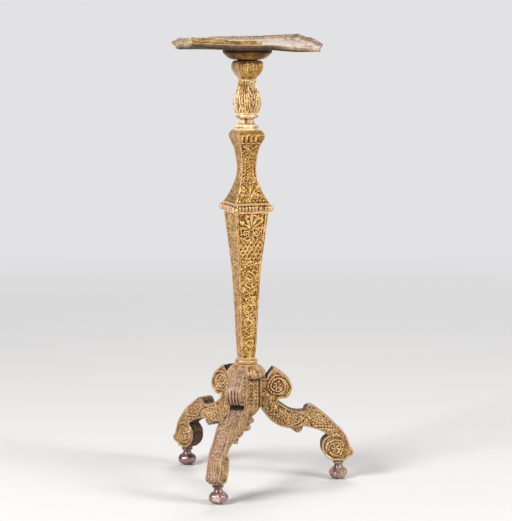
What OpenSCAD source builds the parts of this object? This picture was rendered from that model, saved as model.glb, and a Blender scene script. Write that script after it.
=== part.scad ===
// Torchere candle stand: a square dished top on a carved stem and three scrolled legs.
// Z is up, the floor is z = 0, and the stem's axis stands on the origin.
// The front leg points along -Y. Turns are degrees about Z, counted from the front leg.

/* [Stance and legs] */
// Distance from the stem's axis to the middle of each ball foot
stance_r = 200; // [170:1:230]
// Turn from the front leg to the right leg
right_leg_turn = 113; // [105:1:125]
// Turn from the front leg to the left leg
left_leg_turn = 238; // [232:1:250]
// Thickness of the board each leg is sawn from
leg_w = 33; // [28:1:40]
// Height of the leg's shoulder on the hub above the foot's seat
leg_rise = 185; // [178:1:200]
// Length of the tenon that joins a leg to the hub
leg_tenon_l = 15; // [8:1:16]
// Height of the leg tenon
leg_tenon_h = 22; // [14:1:26]
// Thickness of the leg tenon
leg_tenon_w = 12; // [8:1:13]
// Width of the small scroll planted on each leg's shoulder
leg_scroll_w = 30; // [20:1:40]
// Height of the small scroll above its seat
leg_scroll_h = 11; // [6:1:16]
// Width of the lobed bracket planted under each leg
leg_bracket_w = 26; // [18:1:34]
// Depth of the lobed bracket below its seat
leg_bracket_h = 13; // [8:1:18]
// Radius of the button carved at the eye of each volute
leg_eye_r = 7; // [5:0.5:9]
// Rise of that button over the leg's side
leg_eye_rise = 2; // [1:0.5:3]
// Depth of the ground between the ornament carved on a leg's sides
leg_carving = 2; // [1:0.1:3]
// Diameter of the peg that pins each leg tenon
peg_d = 5; // [4:0.5:7]
// Length of the peg
peg_l = 30; // [24:1:34]

/* [Ball feet] */
// Height of a turned foot from the floor to the leg
foot_h = 42; // [36:1:50]
// Radius of the ball
ball_r = 20.5; // [17:0.5:24]
// Height of the flattened ball
ball_h = 27; // [22:1:30]
// Radius of the collar above the ball
foot_collar_r = 12; // [10:0.5:15]
// Height of the collar
foot_collar_h = 8; // [5:1:9]
// Radius of the neck between ball and collar
foot_neck_r = 8.5; // [7:0.5:9.5]
// Depth of the flat worn on the ball's underside
foot_flat = 0.5; // [0.3:0.1:1]
// Radius of the spigot that enters the leg
foot_spigot_r = 6; // [4:0.5:7]
// Length of the spigot
foot_spigot_l = 18; // [12:1:24]

/* [Hub] */
// Radius of the hub between the legs
hub_r = 30; // [29:0.5:33]
// Depth of the flat cut on the hub behind each leg
hub_flat = 3; // [2:0.5:4]
// Height of the straight part of the hub
hub_h = 64; // [60:1:70]
// Height of the rounded nose under it
hub_nose_h = 23; // [18:1:30]
// Radius of the nose where the pendant is glued on
hub_nose_r = 11; // [10:0.5:14]
// Radius of the lobed dome that caps the hub
dome_r = 41.5; // [38:0.5:45]
// Height of the dome
dome_h = 30; // [26:1:38]
// Radius of the dome's top, under the shaft ring
dome_top_r = 22; // [20:0.5:26]
// Height of the pendant under the hub
pendant_h = 31; // [24:1:38]
// Radius of the pendant's upper lobe
pendant_r = 17; // [13:0.5:20]
// Radius of the pendant's lower drop
drop_r = 10; // [7:0.5:11]
// Radius of the pendant's spigot
pendant_spigot_r = 6; // [4:0.5:7]
// Length of the pendant's spigot
pendant_spigot_l = 14; // [8:1:16]

/* [Tapered shaft] */
// Height of the square tapered shaft
shaft_h = 316; // [280:1:350]
// Side of the shaft at its top
shaft_top_side = 74.4; // [70:0.1:78]
// Side of the shaft at its foot
shaft_foot_side = 30; // [27:0.1:33]
// Turn of the stem's main face from the front leg
shaft_turn = 36.6; // [0:0.1:45]
// Radius of the ring under the shaft
ring_r = 24.2; // [22:0.1:28]
// Height of the ring
ring_h = 12; // [8:1:16]
// Radius of the shaft's round tenon, through ring and dome into the hub
shaft_tenon_r = 11; // [9:0.5:13]
// Depth of that tenon inside the hub
shaft_tenon_depth = 29; // [20:1:31]

// Depth of the ground between the shaft's carved ornament
shaft_carving = 2.4; // [1.5:0.1:3]
// Height of the plain end at the shaft's foot and head
shaft_panel_end = 4; // [3:0.5:8]

/* [Knop] */
// Side of the square knop moulding above the shaft
knop_side = 83; // [80:0.5:88]
// Height of the knop
knop_h = 16; // [13:1:20]
// Radius of the bead at each corner of the knop
corner_bead_r = 7; // [5:0.5:8]

/* [Waisted block] */
// Height of the waisted block
block_h = 156; // [145:1:170]
// Side of the block at its foot
block_foot_side = 80.4; // [76:0.1:83]
// Side of the block at its waist
waist_side = 33.2; // [30:0.1:38]
// Side of the cornice at the block's head
cornice_side = 60.2; // [56:0.1:66]
// Side of the flat on top of the cornice
cornice_top_side = 48; // [44:0.1:54]
// Radius of the block's tenon, down through the knop into the shaft
block_tenon_r = 13; // [10:0.5:14]
// Depth of that tenon inside the shaft
block_tenon_depth = 26; // [18:1:34]

// Depth of the ground between the block's carved ornament
block_carving = 1.6; // [1:0.1:2.5]

/* [Baluster and capital] */
// Height of the baluster, plinth to capital
baluster_h = 105; // [98:1:115]
// Side of the baluster's square plinth
plinth_side = 41.3; // [38:0.1:44]
// Turn of the plinth from the front leg
plinth_turn = 1.8; // [0:0.1:45]
// Largest radius of the vase
vase_r = 29; // [26:0.5:32]
// Radius of the ring under the vase
vase_ring_r = 23.8; // [21:0.1:26]
// Radius of the neck under that ring
baluster_neck_r = 15.8; // [14.5:0.1:18]
// Radius of the baluster's round tenons
baluster_tenon_r = 9; // [7:0.5:10]
// Length of the baluster's tenons
baluster_tenon_l = 20; // [14:1:26]
// Height of the capital, with its neck
capital_h = 42; // [36:1:48]
// Largest radius of the capital
capital_r = 33.4; // [30:0.1:36]
// Radius of the capital at its foot
capital_foot_r = 19; // [18:0.5:22]
// Radius of the neck between capital and disc
capital_neck_r = 22; // [18:0.5:26]
// Radius of the capital's tenon in the disc
capital_tenon_r = 12; // [9:0.5:14]

/* [Top] */
// Height of the turned disc under the board
disc_h = 22; // [18:1:26]
// Radius of the disc
disc_r = 51.8; // [47:0.1:56]
// Radius of the disc's foot
disc_foot_r = 30.5; // [26:0.5:33]
// Side of the square top over its rim
top_side = 274; // [250:1:300]
// Turn of the top from the front leg
top_turn = 25.6; // [0:0.1:45]
// Thickness of the board
board_t = 10.5; // [8:0.5:14]
// Distance by which the rim overhangs the board's edge
rim_overhang = 4; // [2:0.5:6]
// Height of the rim above the board
rim_h = 12.5; // [9:0.5:18]
// Width of the rim's base
rim_w = 14; // [11:0.5:18]
// Part of the front rim that is left, the rest having broken away
front_rim_part = 0.56; // [0.4:0.01:0.9]
// Rise of the two high corners of the board, warped with age
warp_rise = 4.5; // [2:0.5:9]
// Drop of the two low corners
warp_drop = 9; // [2:0.5:10]
// Rise of the middle of each edge, as the board has also dished a little
board_dish = 0.5; // [0.5:0.5:2]
// Half width of the square middle of the board that stays flat
flat_half = 37; // [35:1:55]
// Distance of each screw from the axis
screw_ring_r = 40; // [35:0.5:43]
// Diameter of the four screws
screw_d = 4; // [3:0.5:5]
// Length of each screw from its head to its point
screw_l = 18; // [16:1:20]

/* [Fits] */
// Glue gap between mating faces
glue_gap = 0.1; // [0.05:0.05:0.2]

/* [Hidden] */

$fn = 72;
curve_steps = 5;
through = 1;

// Heights of the joints, from the floor up
dome_z = foot_h + leg_rise;
hub_z = dome_z - hub_h;
nose_z = hub_z - hub_nose_h;
ring_z = dome_z + dome_h;
shaft_z = ring_z + ring_h;
knop_z = shaft_z + shaft_h;
block_z = knop_z + knop_h;
baluster_z = block_z + block_h;
capital_z = baluster_z + baluster_h;
disc_z = capital_z + capital_h;
board_z = disc_z + disc_h;
rim_z = board_z + board_t;

// Colours as the photograph shows them
old_gold = [0.72, 0.56, 0.33];
dark_gold = [0.55, 0.40, 0.20];
worn_gesso = [0.78, 0.72, 0.62];
bare_wood = [0.45, 0.30, 0.20];
copper_brown = [0.45, 0.31, 0.28];
iron = [0.25, 0.24, 0.23];

// ---- Curves ----

// One point of a smooth curve between b and c, with a and d as its neighbours
function between(a, b, c, d, t) =
    0.5 * (2 * b + (c - a) * t + (2 * a - 5 * b + 4 * c - d) * t * t + (3 * b - a - 3 * c + d) * t * t * t);

// A smooth open curve through the points p
function smooth(p) = [
    for (i = [0 : len(p) - 2], k = [0 : curve_steps - 1])
        between(p[max(i - 1, 0)], p[i], p[i + 1], p[min(i + 2, len(p) - 1)], k / curve_steps),
    p[len(p) - 1]
];

// A turned solid whose outline is a list of [radius, height]
module turned(outline) {
    foot = outline[0];
    head = outline[len(outline) - 1];
    rotate_extrude() polygon(concat([[0, foot[1]]], outline, [[0, head[1]]]));
}

// A square solid whose outline is a list of [half side, height]
module square_turned(outline) {
    mirrored = [for (i = [len(outline) - 1 : -1 : 0]) [-outline[i][0], outline[i][1]]];
    reach = 2 * max([for (p = outline) p[0]]) + through;
    intersection() {
        rotate([90, 0, 0]) linear_extrude(reach, center = true) polygon(concat(outline, mirrored));
        rotate([90, 0, 90]) linear_extrude(reach, center = true) polygon(concat(outline, mirrored));
    }
}

// A straight bar of half width w from a to b, in the plane
module bar(a, b, w) {
    across = [a[1] - b[1], b[0] - a[0]] / norm(b - a) * w;
    polygon([a + across, a - across, b - across, b + across]);
}

// A fan of leaves over a half round, from its root up to its size
module palmette(size, leaves) {
    circle(size * 0.2);
    for (k = [0 : leaves - 1]) rotate(78 * (1 - 2 * k / (leaves - 1)))
        polygon([[size * 0.05, size * 0.1], [size * 0.15, size * 0.7], [0, size], [-size * 0.15, size * 0.7],
                 [-size * 0.05, size * 0.1]]);
}

// Half the width of the sunk panel on a square face whose half side is given
function panel_half(half) = half * 0.875 - 2;

// The space of a sunk panel on each of the four faces of a square solid, whose outline is given as
// [half side, height] and whose raised ornament is drawn by the children, with X across and Y up
module sunk_panels(outline, depth) {
    last = len(outline) - 1;
    reach = 2 * max([for (p = outline) p[0]]) + through;
    for (k = [0 : 3]) rotate([0, 0, 90 * k]) intersection() {
        rotate([90, 0, 90]) linear_extrude(reach, center = true) polygon(concat(
            [for (p = outline) [depth - p[0], p[1]]],
            [[-reach, outline[last][1]], [-reach, outline[0][1]]]));
        rotate([90, 0, 0]) linear_extrude(reach) difference() {
            polygon(concat([for (p = outline) [panel_half(p[0]), p[1]]],
                           [for (i = [last : -1 : 0]) [-panel_half(outline[i][0]), outline[i][1]]]));
            children();
        }
    }
}

// A round hole, one glue gap larger than the tenon r that enters it
module socket(r, z, h) {
    translate([0, 0, z]) cylinder(h = h, r = r + glue_gap);
}

// ---- Top ----

board_half = top_side / 2 - rim_overhang;
warp_stations = [for (s = [-1, 1], k = [0 : 5]) s < 0
    ? -board_half + k * (board_half - flat_half) / 5
    : flat_half + k * (board_half - flat_half) / 5];

// Rise of the warped board at a place x, y of its own square: every edge is dished up a little,
// two opposite corners climb and two sink
function ramp(t) = sign(t) * max(0, (abs(t) - flat_half) / (board_half - flat_half));
function board_rise(x, y) = let (twist = ramp(x) * ramp(y))
    (twist > 0 ? warp_rise : warp_drop) * twist + board_dish * max(abs(ramp(x)), abs(ramp(y)));

// Faces of a closed tube or slab of rings, each ring with n points
function ring_faces(rings, n) = concat(
    [for (r = [0 : rings - 2], k = [0 : n - 1]) [r * n + k, r * n + (k + 1) % n, (r + 1) * n + k]],
    [for (r = [0 : rings - 2], k = [0 : n - 1])
        [r * n + (k + 1) % n, (r + 1) * n + (k + 1) % n, (r + 1) * n + k]]
);

module warped_slab() {
    n = len(warp_stations);
    points = [for (z = [board_z, rim_z], y = warp_stations, x = warp_stations) [x, y, z + board_rise(x, y)]];
    cells = [for (j = [0 : n - 2], i = [0 : n - 2]) j * n + i];
    border = concat([for (i = [0 : n - 2]) i], [for (j = [0 : n - 2]) j * n + n - 1],
                    [for (i = [n - 1 : -1 : 1]) (n - 1) * n + i], [for (j = [n - 1 : -1 : 1]) j * n]);
    under = [for (c = cells) each [[c, c + 1, c + n], [c + 1, c + n + 1, c + n]]];
    over = [for (f = under) [n * n + f[0], n * n + f[2], n * n + f[1]]];
    sides = [for (k = [0 : len(border) - 1]) let (a = border[k], b = border[(k + 1) % len(border)])
        each [[b, a, n * n + a], [b, n * n + a, n * n + b]]];
    polyhedron(points, concat(under, over, sides));
}

// Section of the rim: [distance in from the rim's outer edge, height above the board]
rim_section = concat(
    [[rim_overhang, glue_gap]],
    smooth([[rim_overhang - 0.5, rim_h * 0.25], [rim_overhang * 0.45, rim_h * 0.55], [0, rim_h * 0.74]]),
    [[0, rim_h - 1.5], [1.5, rim_h], [rim_overhang, rim_h]],
    smooth([[rim_w * 0.42, rim_h * 0.82], [rim_w * 0.62, rim_h * 0.42], [rim_w, rim_h * 0.18]]),
    [[rim_w, glue_gap]]
);

// One side of the rim along X on the -Y edge, mitred at both ends unless part is below 1
module rim_side(turn, part = 1) {
    stations = 14;
    n = len(rim_section);
    corner = top_side / 2 - glue_gap;
    cut = -corner + part * top_side;
    points = [for (s = [0 : stations], p = rim_section)
        let (left = -corner + p[0], right = part < 1 ? cut : corner - p[0],
             x = left + (right - left) * s / stations, y = p[0] - top_side / 2,
             c = cos(turn), d = sin(turn))
        [x, y, rim_z + p[1] + board_rise(c * x - d * y, d * x + c * y)]];
    caps = [[for (k = [n - 1 : -1 : 0]) k], [for (k = [0 : n - 1]) stations * n + k]];
    rotate([0, 0, turn]) polyhedron(points, concat(ring_faces(stations + 1, n), caps));
}

module screw_places() {
    for (k = [0 : 3]) rotate([0, 0, 45 + 90 * k]) translate([screw_ring_r, 0, 0]) children();
}

// Underside of the disc at the screws' distance from the axis
disc_edge_h = disc_h * 0.4;
screw_head_z = disc_z + (disc_h - disc_edge_h) * (screw_ring_r - disc_foot_r) / (disc_r - disc_foot_r);
screw_head_h = screw_d * 0.6;

module top_turned() rotate([0, 0, top_turn]) children();

module top_board() {
    color(worn_gesso) top_turned() difference() {
        warped_slab();
        screw_places() translate([0, 0, board_z - through])
            cylinder(h = screw_head_z + screw_l + through - board_z + glue_gap, d = screw_d + 2 * glue_gap);
    }
}

module rim_front() color(old_gold) top_turned() rim_side(0, front_rim_part);
module rim_right() color(worn_gesso) top_turned() rim_side(90);
module rim_back() color(old_gold) top_turned() rim_side(180);
module rim_left() color(old_gold) top_turned() rim_side(270);

module top_disc() {
    edge_z = board_z - disc_edge_h;
    color(dark_gold) top_turned() difference() {
        turned(concat(
            smooth([[disc_foot_r, disc_z], [disc_foot_r + 9, disc_z + 3], [disc_r - 3, edge_z - 2.5],
                    [disc_r, edge_z + 1]]),
            [[disc_r, board_z]]));
        socket(capital_tenon_r, disc_z - through, disc_h + 2 * through);
        screw_places() {
            translate([0, 0, disc_z]) cylinder(h = disc_h + through, d = screw_d + 2 * glue_gap);
            translate([0, 0, disc_z - through])
                cylinder(h = screw_head_z + screw_head_h + through - disc_z + glue_gap,
                         d = 2 * (screw_d + glue_gap));
        }
    }
}

module top_screws() {
    color(iron) top_turned() screw_places() translate([0, 0, screw_head_z]) {
        cylinder(h = screw_head_h, d = 2 * screw_d);
        cylinder(h = screw_l, d = screw_d);
    }
}

// ---- Stem ----

module capital() {
    h = capital_h;
    body = concat(
        smooth([[capital_foot_r, capital_z], [capital_foot_r + 1, capital_z + 0.1 * h],
                [capital_r - 7.9, capital_z + 0.25 * h], [capital_r - 1.4, capital_z + 0.5 * h],
                [capital_r, capital_z + 0.69 * h], [capital_r - 0.5, capital_z + 0.85 * h],
                [capital_r - 4.5, capital_z + 0.92 * h], [capital_neck_r, capital_z + 0.94 * h]]),
        [[capital_neck_r, disc_z], [capital_tenon_r, disc_z], [capital_tenon_r, board_z - 2]]);
    color(old_gold) difference() {
        turned(body);
        socket(baluster_tenon_r, capital_z - through, baluster_tenon_l + through + glue_gap);
    }
}

module baluster() {
    // heights as shares of the baluster's own height
    function up(share) = baluster_z + share * baluster_h;
    plinth_h = 0.086 * baluster_h;
    flare_z = up(0.095);
    body = concat(
        smooth([[plinth_side / 2 - 0.3, flare_z], [baluster_neck_r + 1.5, up(0.143)],
                [baluster_neck_r, up(0.21)]]),
        smooth([[baluster_neck_r + 3, up(0.229)], [vase_ring_r - 1, up(0.243)], [vase_ring_r, up(0.271)],
                [vase_ring_r - 1.5, up(0.305)]]),
        smooth([[vase_ring_r - 1, up(0.314)], [vase_r - 2, up(0.429)], [vase_r, up(0.543)],
                [vase_r - 2.6, up(0.695)], [capital_foot_r + 2.6, up(0.79)],
                [capital_foot_r, up(0.886)], [capital_foot_r, capital_z]]));
    color(old_gold) {
        turned(body);
        rotate([0, 0, plinth_turn]) translate([0, 0, baluster_z]) square_turned([
            [plinth_side / 2, 0], [plinth_side / 2, plinth_h - 1.5],
            [plinth_side / 2 - 1, plinth_h], [plinth_side / 2 - 1, flare_z - baluster_z]]);
        translate([0, 0, baluster_z - baluster_tenon_l])
            cylinder(h = baluster_h + 2 * baluster_tenon_l, r = baluster_tenon_r);
    }
}

module stem_turned() rotate([0, 0, shaft_turn]) children();

// Half sides of the block's body, from its foot up to its cornice, as [half side, height]
function block_stations() = let (waist = waist_side / 2, flare = (block_foot_side - waist_side) / 2,
                                 spread = (cornice_side - waist_side) / 2, cornice_z = block_h - 11) [
    [block_foot_side / 2, 0], [waist + 0.6 * flare, 0.112 * block_h],
    [waist + 0.245 * flare, 0.25 * block_h], [waist + 0.035 * flare, 0.385 * block_h],
    [waist, 0.525 * block_h], [waist + 0.305 * spread, 0.725 * block_h],
    [cornice_side / 2 - 3, cornice_z - 13], [cornice_side / 2 - 1, cornice_z - 9]];

// Raised ornament of one face of the block: crossed leaves, a twisted rod between two roundels, and a
// palmette over its foot
module block_ornament() {
    function reach(z) = panel_half(half_at(block_stations(), z));
    cross = [block_h * 0.68, block_h * 0.77];
    for (side = [-1, 1]) {
        bar([-side * reach(cross[0]) * 0.7, cross[0]], [side * reach(cross[1]) * 0.7, cross[1]],
            block_h * 0.016);
        translate([side * reach(block_h * 0.13) * 0.72, block_h * 0.12]) circle(block_h * 0.035);
    }
    for (z = [0.63, 0.37]) translate([0, block_h * z]) circle(reach(block_h * z) * 0.48);
    bar([0, block_h * 0.58], [0, block_h * 0.42], reach(block_h * 0.5) * 0.28);
    translate([0, block_h * 0.12]) palmette(min(block_h * 0.19, reach(block_h * 0.2) * 1.25), 5);
}

module waisted_block() {
    cornice_z = block_h - 11;
    stations = block_stations();
    outline = concat(
        smooth(stations),
        [[cornice_side / 2 - 1, cornice_z - 1], [cornice_side / 2, cornice_z],
         [cornice_side / 2, cornice_z + 2], [cornice_top_side / 2, block_h]]);
    low = 0.05 * block_h;
    high = 0.81 * block_h;
    color(old_gold) difference() {
        union() {
            stem_turned() translate([0, 0, block_z]) difference() {
                square_turned(outline);
                sunk_panels(concat([[half_at(stations, low), low]], [for (i = [1 : 5]) stations[i]],
                                   [[half_at(stations, high), high]]), block_carving) block_ornament();
            }
            translate([0, 0, block_z - knop_h - block_tenon_depth])
                cylinder(h = knop_h + block_tenon_depth + through, r = block_tenon_r);
        }
        socket(baluster_tenon_r, baluster_z - baluster_tenon_l - glue_gap, baluster_tenon_l + 2 * through);
    }
}

bead_centre = knop_side / 2 - corner_bead_r * 0.25;

module knop_moulding() {
    half = knop_side / 2;
    color(dark_gold) difference() {
        stem_turned() translate([0, 0, knop_z]) square_turned([
            [shaft_top_side / 2 + 1, 0], [half - 2, 3], [half - 2, 4], [half, 6], [half, knop_h - 5],
            [half - 2, knop_h - 3], [half - 2, knop_h - 2], [block_foot_side / 2, knop_h]]);
        socket(block_tenon_r, knop_z - through, knop_h + 2 * through);
        stem_turned() corner_bead_places() sphere(r = corner_bead_r + glue_gap);
    }
}

module corner_bead_places() {
    for (x = [-1, 1], y = [-1, 1])
        translate([x * bead_centre, y * bead_centre, knop_z + knop_h / 2]) children();
}

module knop_corner_beads() {
    color(old_gold) stem_turned() corner_bead_places() sphere(r = corner_bead_r);
}

// Half sides of the shaft, from its foot to its top, as [half side, height]
function shaft_stations() = let (foot = shaft_foot_side / 2,
                                 flare = (shaft_top_side - shaft_foot_side) / 2) [
    [foot, 0], [foot + 0.13 * flare, shaft_h * 0.135], [foot + 0.257 * flare, shaft_h * 0.37],
    [foot + 0.437 * flare, shaft_h * 0.605], [foot + 0.77 * flare, shaft_h * 0.84], [foot + flare, shaft_h]];

function half_at(stations, z) = lookup(z, [for (s = stations) [s[1], s[0]]]);

// Raised ornament of one face of the shaft: a palmette over two curls, a trellis, two rosettes, and four
// S-scrolls, each with a rosette below it
module shaft_ornament() {
    function reach(z) = panel_half(half_at(shaft_stations(), z));
    root = shaft_h * 0.886;
    translate([0, root]) palmette(min(shaft_h * 0.095, reach(root)), 7);
    for (side = [-1, 1]) {
        translate([side * reach(shaft_h * 0.858) * 0.45, shaft_h * 0.858]) circle(shaft_h * 0.026);
        translate([side * reach(shaft_h * 0.645) * 0.48, shaft_h * 0.645]) circle(shaft_h * 0.022);
    }
    for (k = [0 : 2]) let (z = shaft_h * (0.795 - 0.045 * k), w = reach(z) * 0.8)
        bar([-w, z - shaft_h * 0.02], [w, z + shaft_h * 0.02], shaft_h * 0.008);
    for (row = [[0.541, 0.133, 1], [0.373, 0.12, -1], [0.22, 0.107, 1], [0.084, 0.095, -1]]) {
        z = shaft_h * row[0];
        l = shaft_h * row[1];
        w = reach(z) * row[2];
        translate([-w * 0.5, z + l * 0.29]) circle(abs(w) * 0.38);
        translate([w * 0.5, z - l * 0.29]) circle(abs(w) * 0.38);
        bar([w * 0.42, z + l * 0.27], [-w * 0.42, z - l * 0.27], abs(w) * 0.15);
        if (row[0] > 0.1) translate([0, z - l * 0.66]) circle(abs(w) * 0.3);
    }
}

module tapered_shaft() {
    stations = shaft_stations();
    color(old_gold) difference() {
        union() {
            stem_turned() translate([0, 0, shaft_z]) difference() {
                square_turned(smooth(stations));
                sunk_panels(concat([[half_at(stations, shaft_panel_end), shaft_panel_end]],
                                   [for (i = [1 : len(stations) - 2]) stations[i]],
                                   [[half_at(stations, shaft_h - shaft_panel_end), shaft_h - shaft_panel_end]]),
                            shaft_carving) shaft_ornament();
            }
            translate([0, 0, dome_z - shaft_tenon_depth])
                cylinder(h = shaft_z - dome_z + shaft_tenon_depth + through, r = shaft_tenon_r);
        }
        socket(block_tenon_r, knop_z - block_tenon_depth - glue_gap, block_tenon_depth + 2 * through);
    }
}

module shaft_ring() {
    color(old_gold) difference() {
        turned(smooth([[ring_r - 4, ring_z], [ring_r - 0.8, ring_z + ring_h * 0.25],
                       [ring_r, ring_z + ring_h * 0.5], [ring_r - 0.8, ring_z + ring_h * 0.75],
                       [ring_r - 4, shaft_z]]));
        socket(shaft_tenon_r, ring_z - through, ring_h + 2 * through);
    }
}

// ---- Hub ----

module hub_dome() {
    color(old_gold) difference() {
        turned(concat(
            [[dome_r - 7, dome_z], [dome_r - 5, dome_z + 1.5]],
            smooth([[dome_r - 3, dome_z + 3], [dome_r, dome_z + dome_h * 0.34],
                    [dome_r - 2, dome_z + dome_h * 0.56], [dome_r - 8.5, dome_z + dome_h * 0.82],
                    [dome_top_r, ring_z]])));
        socket(shaft_tenon_r, dome_z - through, dome_h + 2 * through);
    }
}

leg_turns = [0, right_leg_turn, left_leg_turn];
leg_face_r = hub_r - hub_flat;
tenon_z = hub_z + 8;

// Draws its children in the plane of one leg, with X outward and Y up, and the given width
module leg_slice(w) {
    rotate([90, 0, -90]) linear_extrude(w, center = true) children();
}

module leg_tenon(gap) {
    size = [leg_tenon_l + gap + through, leg_tenon_h + 2 * gap];
    leg_slice(leg_tenon_w + 2 * gap)
        translate([leg_face_r - leg_tenon_l - gap, tenon_z - gap]) square(size);
}

module leg_peg(gap) {
    translate([0, -(leg_face_r - leg_tenon_l / 2), tenon_z + leg_tenon_h / 2])
        rotate([0, 90, 0]) cylinder(h = peg_l + 2 * gap, d = peg_d + 2 * gap, center = true);
}

module hub_body() {
    color(old_gold) difference() {
        turned(concat(
            smooth([[hub_nose_r, nose_z], [hub_r * 0.64, nose_z + hub_nose_h * 0.3],
                    [hub_r * 0.84, nose_z + hub_nose_h * 0.62], [hub_r, hub_z]]),
            [[hub_r, dome_z]]));
        socket(shaft_tenon_r, dome_z - shaft_tenon_depth - glue_gap, shaft_tenon_depth + 2 * through);
        socket(pendant_spigot_r, nose_z - through, pendant_spigot_l + through + glue_gap);
        for (turn = leg_turns) rotate([0, 0, turn]) {
            translate([-hub_r, -hub_r - leg_face_r + glue_gap, nose_z])
                cube([2 * hub_r, hub_r, hub_h + hub_nose_h + through]);
            leg_tenon(glue_gap);
            leg_peg(glue_gap);
        }
    }
}

module hub_pendant() {
    waist_z = nose_z - pendant_h * 0.5;
    color(dark_gold) turned(concat(
        smooth([[drop_r * 0.2, nose_z - pendant_h], [drop_r * 0.8, nose_z - pendant_h * 0.9],
                [drop_r, nose_z - pendant_h * 0.74], [drop_r * 0.75, waist_z - 1]]),
        smooth([[drop_r * 0.8, waist_z], [pendant_r, nose_z - pendant_h * 0.3], [pendant_r * 0.9, nose_z - 3],
                [hub_nose_r, nose_z]]),
        [[pendant_spigot_r, nose_z], [pendant_spigot_r, nose_z + pendant_spigot_l]]));
}

// ---- Legs ----

// A place on a leg: out runs from 0 at its face on the hub to 1 over the middle of the foot, and
// up from 0 at the foot's seat to 1 at the shoulder under the dome
function at(out, up) = [leg_face_r + out * (stance_r - leg_face_r), foot_h + up * leg_rise];

scroll_seat = [at(0.555, 0.6), at(0.734, 0.616)];
bracket_seat = [at(0.382, 0.403), at(0.549, 0.422)];
foot_seat = [[stance_r - foot_collar_r - 1, foot_h], [stance_r + foot_collar_r + 1, foot_h]];
volute_eyes = [at(0.225, 0.908), at(0.954, 0.146)];

leg_outline = concat(
    // underside, from the hub to the bracket and on to the foot's volute
    smooth([[leg_face_r, hub_z], at(0.052, 0.6), at(0.139, 0.503), at(0.266, 0.427), bracket_seat[0]]),
    smooth([bracket_seat[1], at(0.647, 0.403), at(0.775, 0.357), at(0.867, 0.303)]),
    // foot volute, curling in towards the stem, down to the seat
    smooth([at(0.838, 0.286), at(0.792, 0.243), at(0.78, 0.178), at(0.792, 0.114), at(0.844, 0.049),
            foot_seat[0]]),
    // ear at the outside of the foot
    smooth([foot_seat[1], at(1.116, 0.038), at(1.162, 0.049)]),
    smooth([at(1.185, 0.076), at(1.185, 0.108), at(1.145, 0.146)]),
    // knee and back, up to the planted scroll
    smooth([at(1.139, 0.168), at(1.11, 0.249), at(1.064, 0.33), at(0.965, 0.422), at(0.838, 0.535),
            scroll_seat[1]]),
    smooth([scroll_seat[0], at(0.48, 0.6), at(0.416, 0.61), at(0.35, 0.639), at(0.225, 0.722)]),
    // volute at the top of the leg, curling outward to a crest beside the dome
    smooth([at(0.24, 0.749), at(0.345, 0.762), at(0.396, 0.828), at(0.408, 0.897), at(0.36, 0.992),
            at(0.242, 1.082), at(0.173, 1.119)]),
    [at(0.127, 1.065), [dome_r + 1, dome_z + 4], [dome_r + 1, dome_z - glue_gap],
     [leg_face_r, dome_z - glue_gap]]
);

// Middle line of a leg's carved side, from its neck to its foot, and half the carving's width along it
leg_spine = [at(0.095, 0.83), at(0.1, 0.7), at(0.18, 0.59), at(0.31, 0.51), at(0.46, 0.5), at(0.61, 0.505),
             at(0.76, 0.45), at(0.9, 0.37), at(0.985, 0.28)];
leg_spine_w = [for (share = [0.03, 0.035, 0.055, 0.07, 0.07, 0.07, 0.065, 0.055, 0.045]) share * leg_rise];

// Unit vector across a path at its point i
function across_at(path, i) = let (d = path[min(i + 1, len(path) - 1)] - path[max(i - 1, 0)])
    [-d[1], d[0]] / norm(d);

// A ribbon along a path whose half width is w[i] at each point
module ribbon(path, w) {
    last = len(path) - 1;
    polygon(concat([for (i = [0 : last]) path[i] + across_at(path, i) * w[i]],
                   [for (i = [last : -1 : 0]) path[i] - across_at(path, i) * w[i]]));
}

// Sunk ground of a leg's side: two grooves round each volute's eye, and a field with a running vine in it
module leg_ground() {
    for (eye = volute_eyes, r = [1.15, 2.25] * leg_eye_r) translate(eye) difference() {
        circle(r + leg_eye_r * 0.55);
        circle(r);
    }
    vine = [for (i = [0 : len(leg_spine) - 1])
        leg_spine[i] + across_at(leg_spine, i) * leg_spine_w[i] * (i % 2 == 0 ? 0.4 : -0.4)];
    difference() {
        ribbon(leg_spine, leg_spine_w);
        ribbon(vine, leg_spine_w * 0.17);
        for (i = [2 : 7]) let (aside = across_at(leg_spine, i) * leg_spine_w[i] * (i % 2 == 0 ? -0.4 : 0.4))
            translate(leg_spine[i] + aside) circle(leg_spine_w[i] * 0.34);
    }
}

module leg(turn) {
    color(old_gold) rotate([0, 0, turn]) difference() {
        union() {
            leg_slice(leg_w) polygon(leg_outline);
            leg_slice(leg_w + 2 * leg_eye_rise) for (eye = volute_eyes) translate(eye) circle(leg_eye_r);
            leg_tenon(0);
        }
        for (side = [-1, 1]) translate([side * leg_w / 2, 0, 0]) leg_slice(2 * leg_carving) leg_ground();
        leg_peg(glue_gap);
        translate([0, -stance_r, 0])
            socket(foot_spigot_r, foot_h - through, foot_spigot_l + through + glue_gap);
    }
}

// Outline on a seat from a to b: a curl of height h that leans towards a
function curl_on(a, b, h) = let (along = b - a, up = [-along[1], along[0]] / norm(along))
    smooth([a + up * glue_gap, a + 0.12 * along + up * h * 0.62, a + 0.3 * along + up * h * 0.96,
            a + 0.5 * along + up * h, a + 0.72 * along + up * h * 0.72, b + up * glue_gap]);

module leg_scroll(turn) {
    color(dark_gold) rotate([0, 0, turn]) leg_slice(leg_scroll_w)
        polygon(curl_on(scroll_seat[0], scroll_seat[1], leg_scroll_h));
}

module leg_bracket(turn) {
    color(dark_gold) rotate([0, 0, turn]) leg_slice(leg_bracket_w)
        polygon(curl_on(bracket_seat[1], bracket_seat[0], leg_bracket_h));
}

module leg_pegs() color(bare_wood) for (turn = leg_turns) rotate([0, 0, turn]) leg_peg(0);

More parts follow.
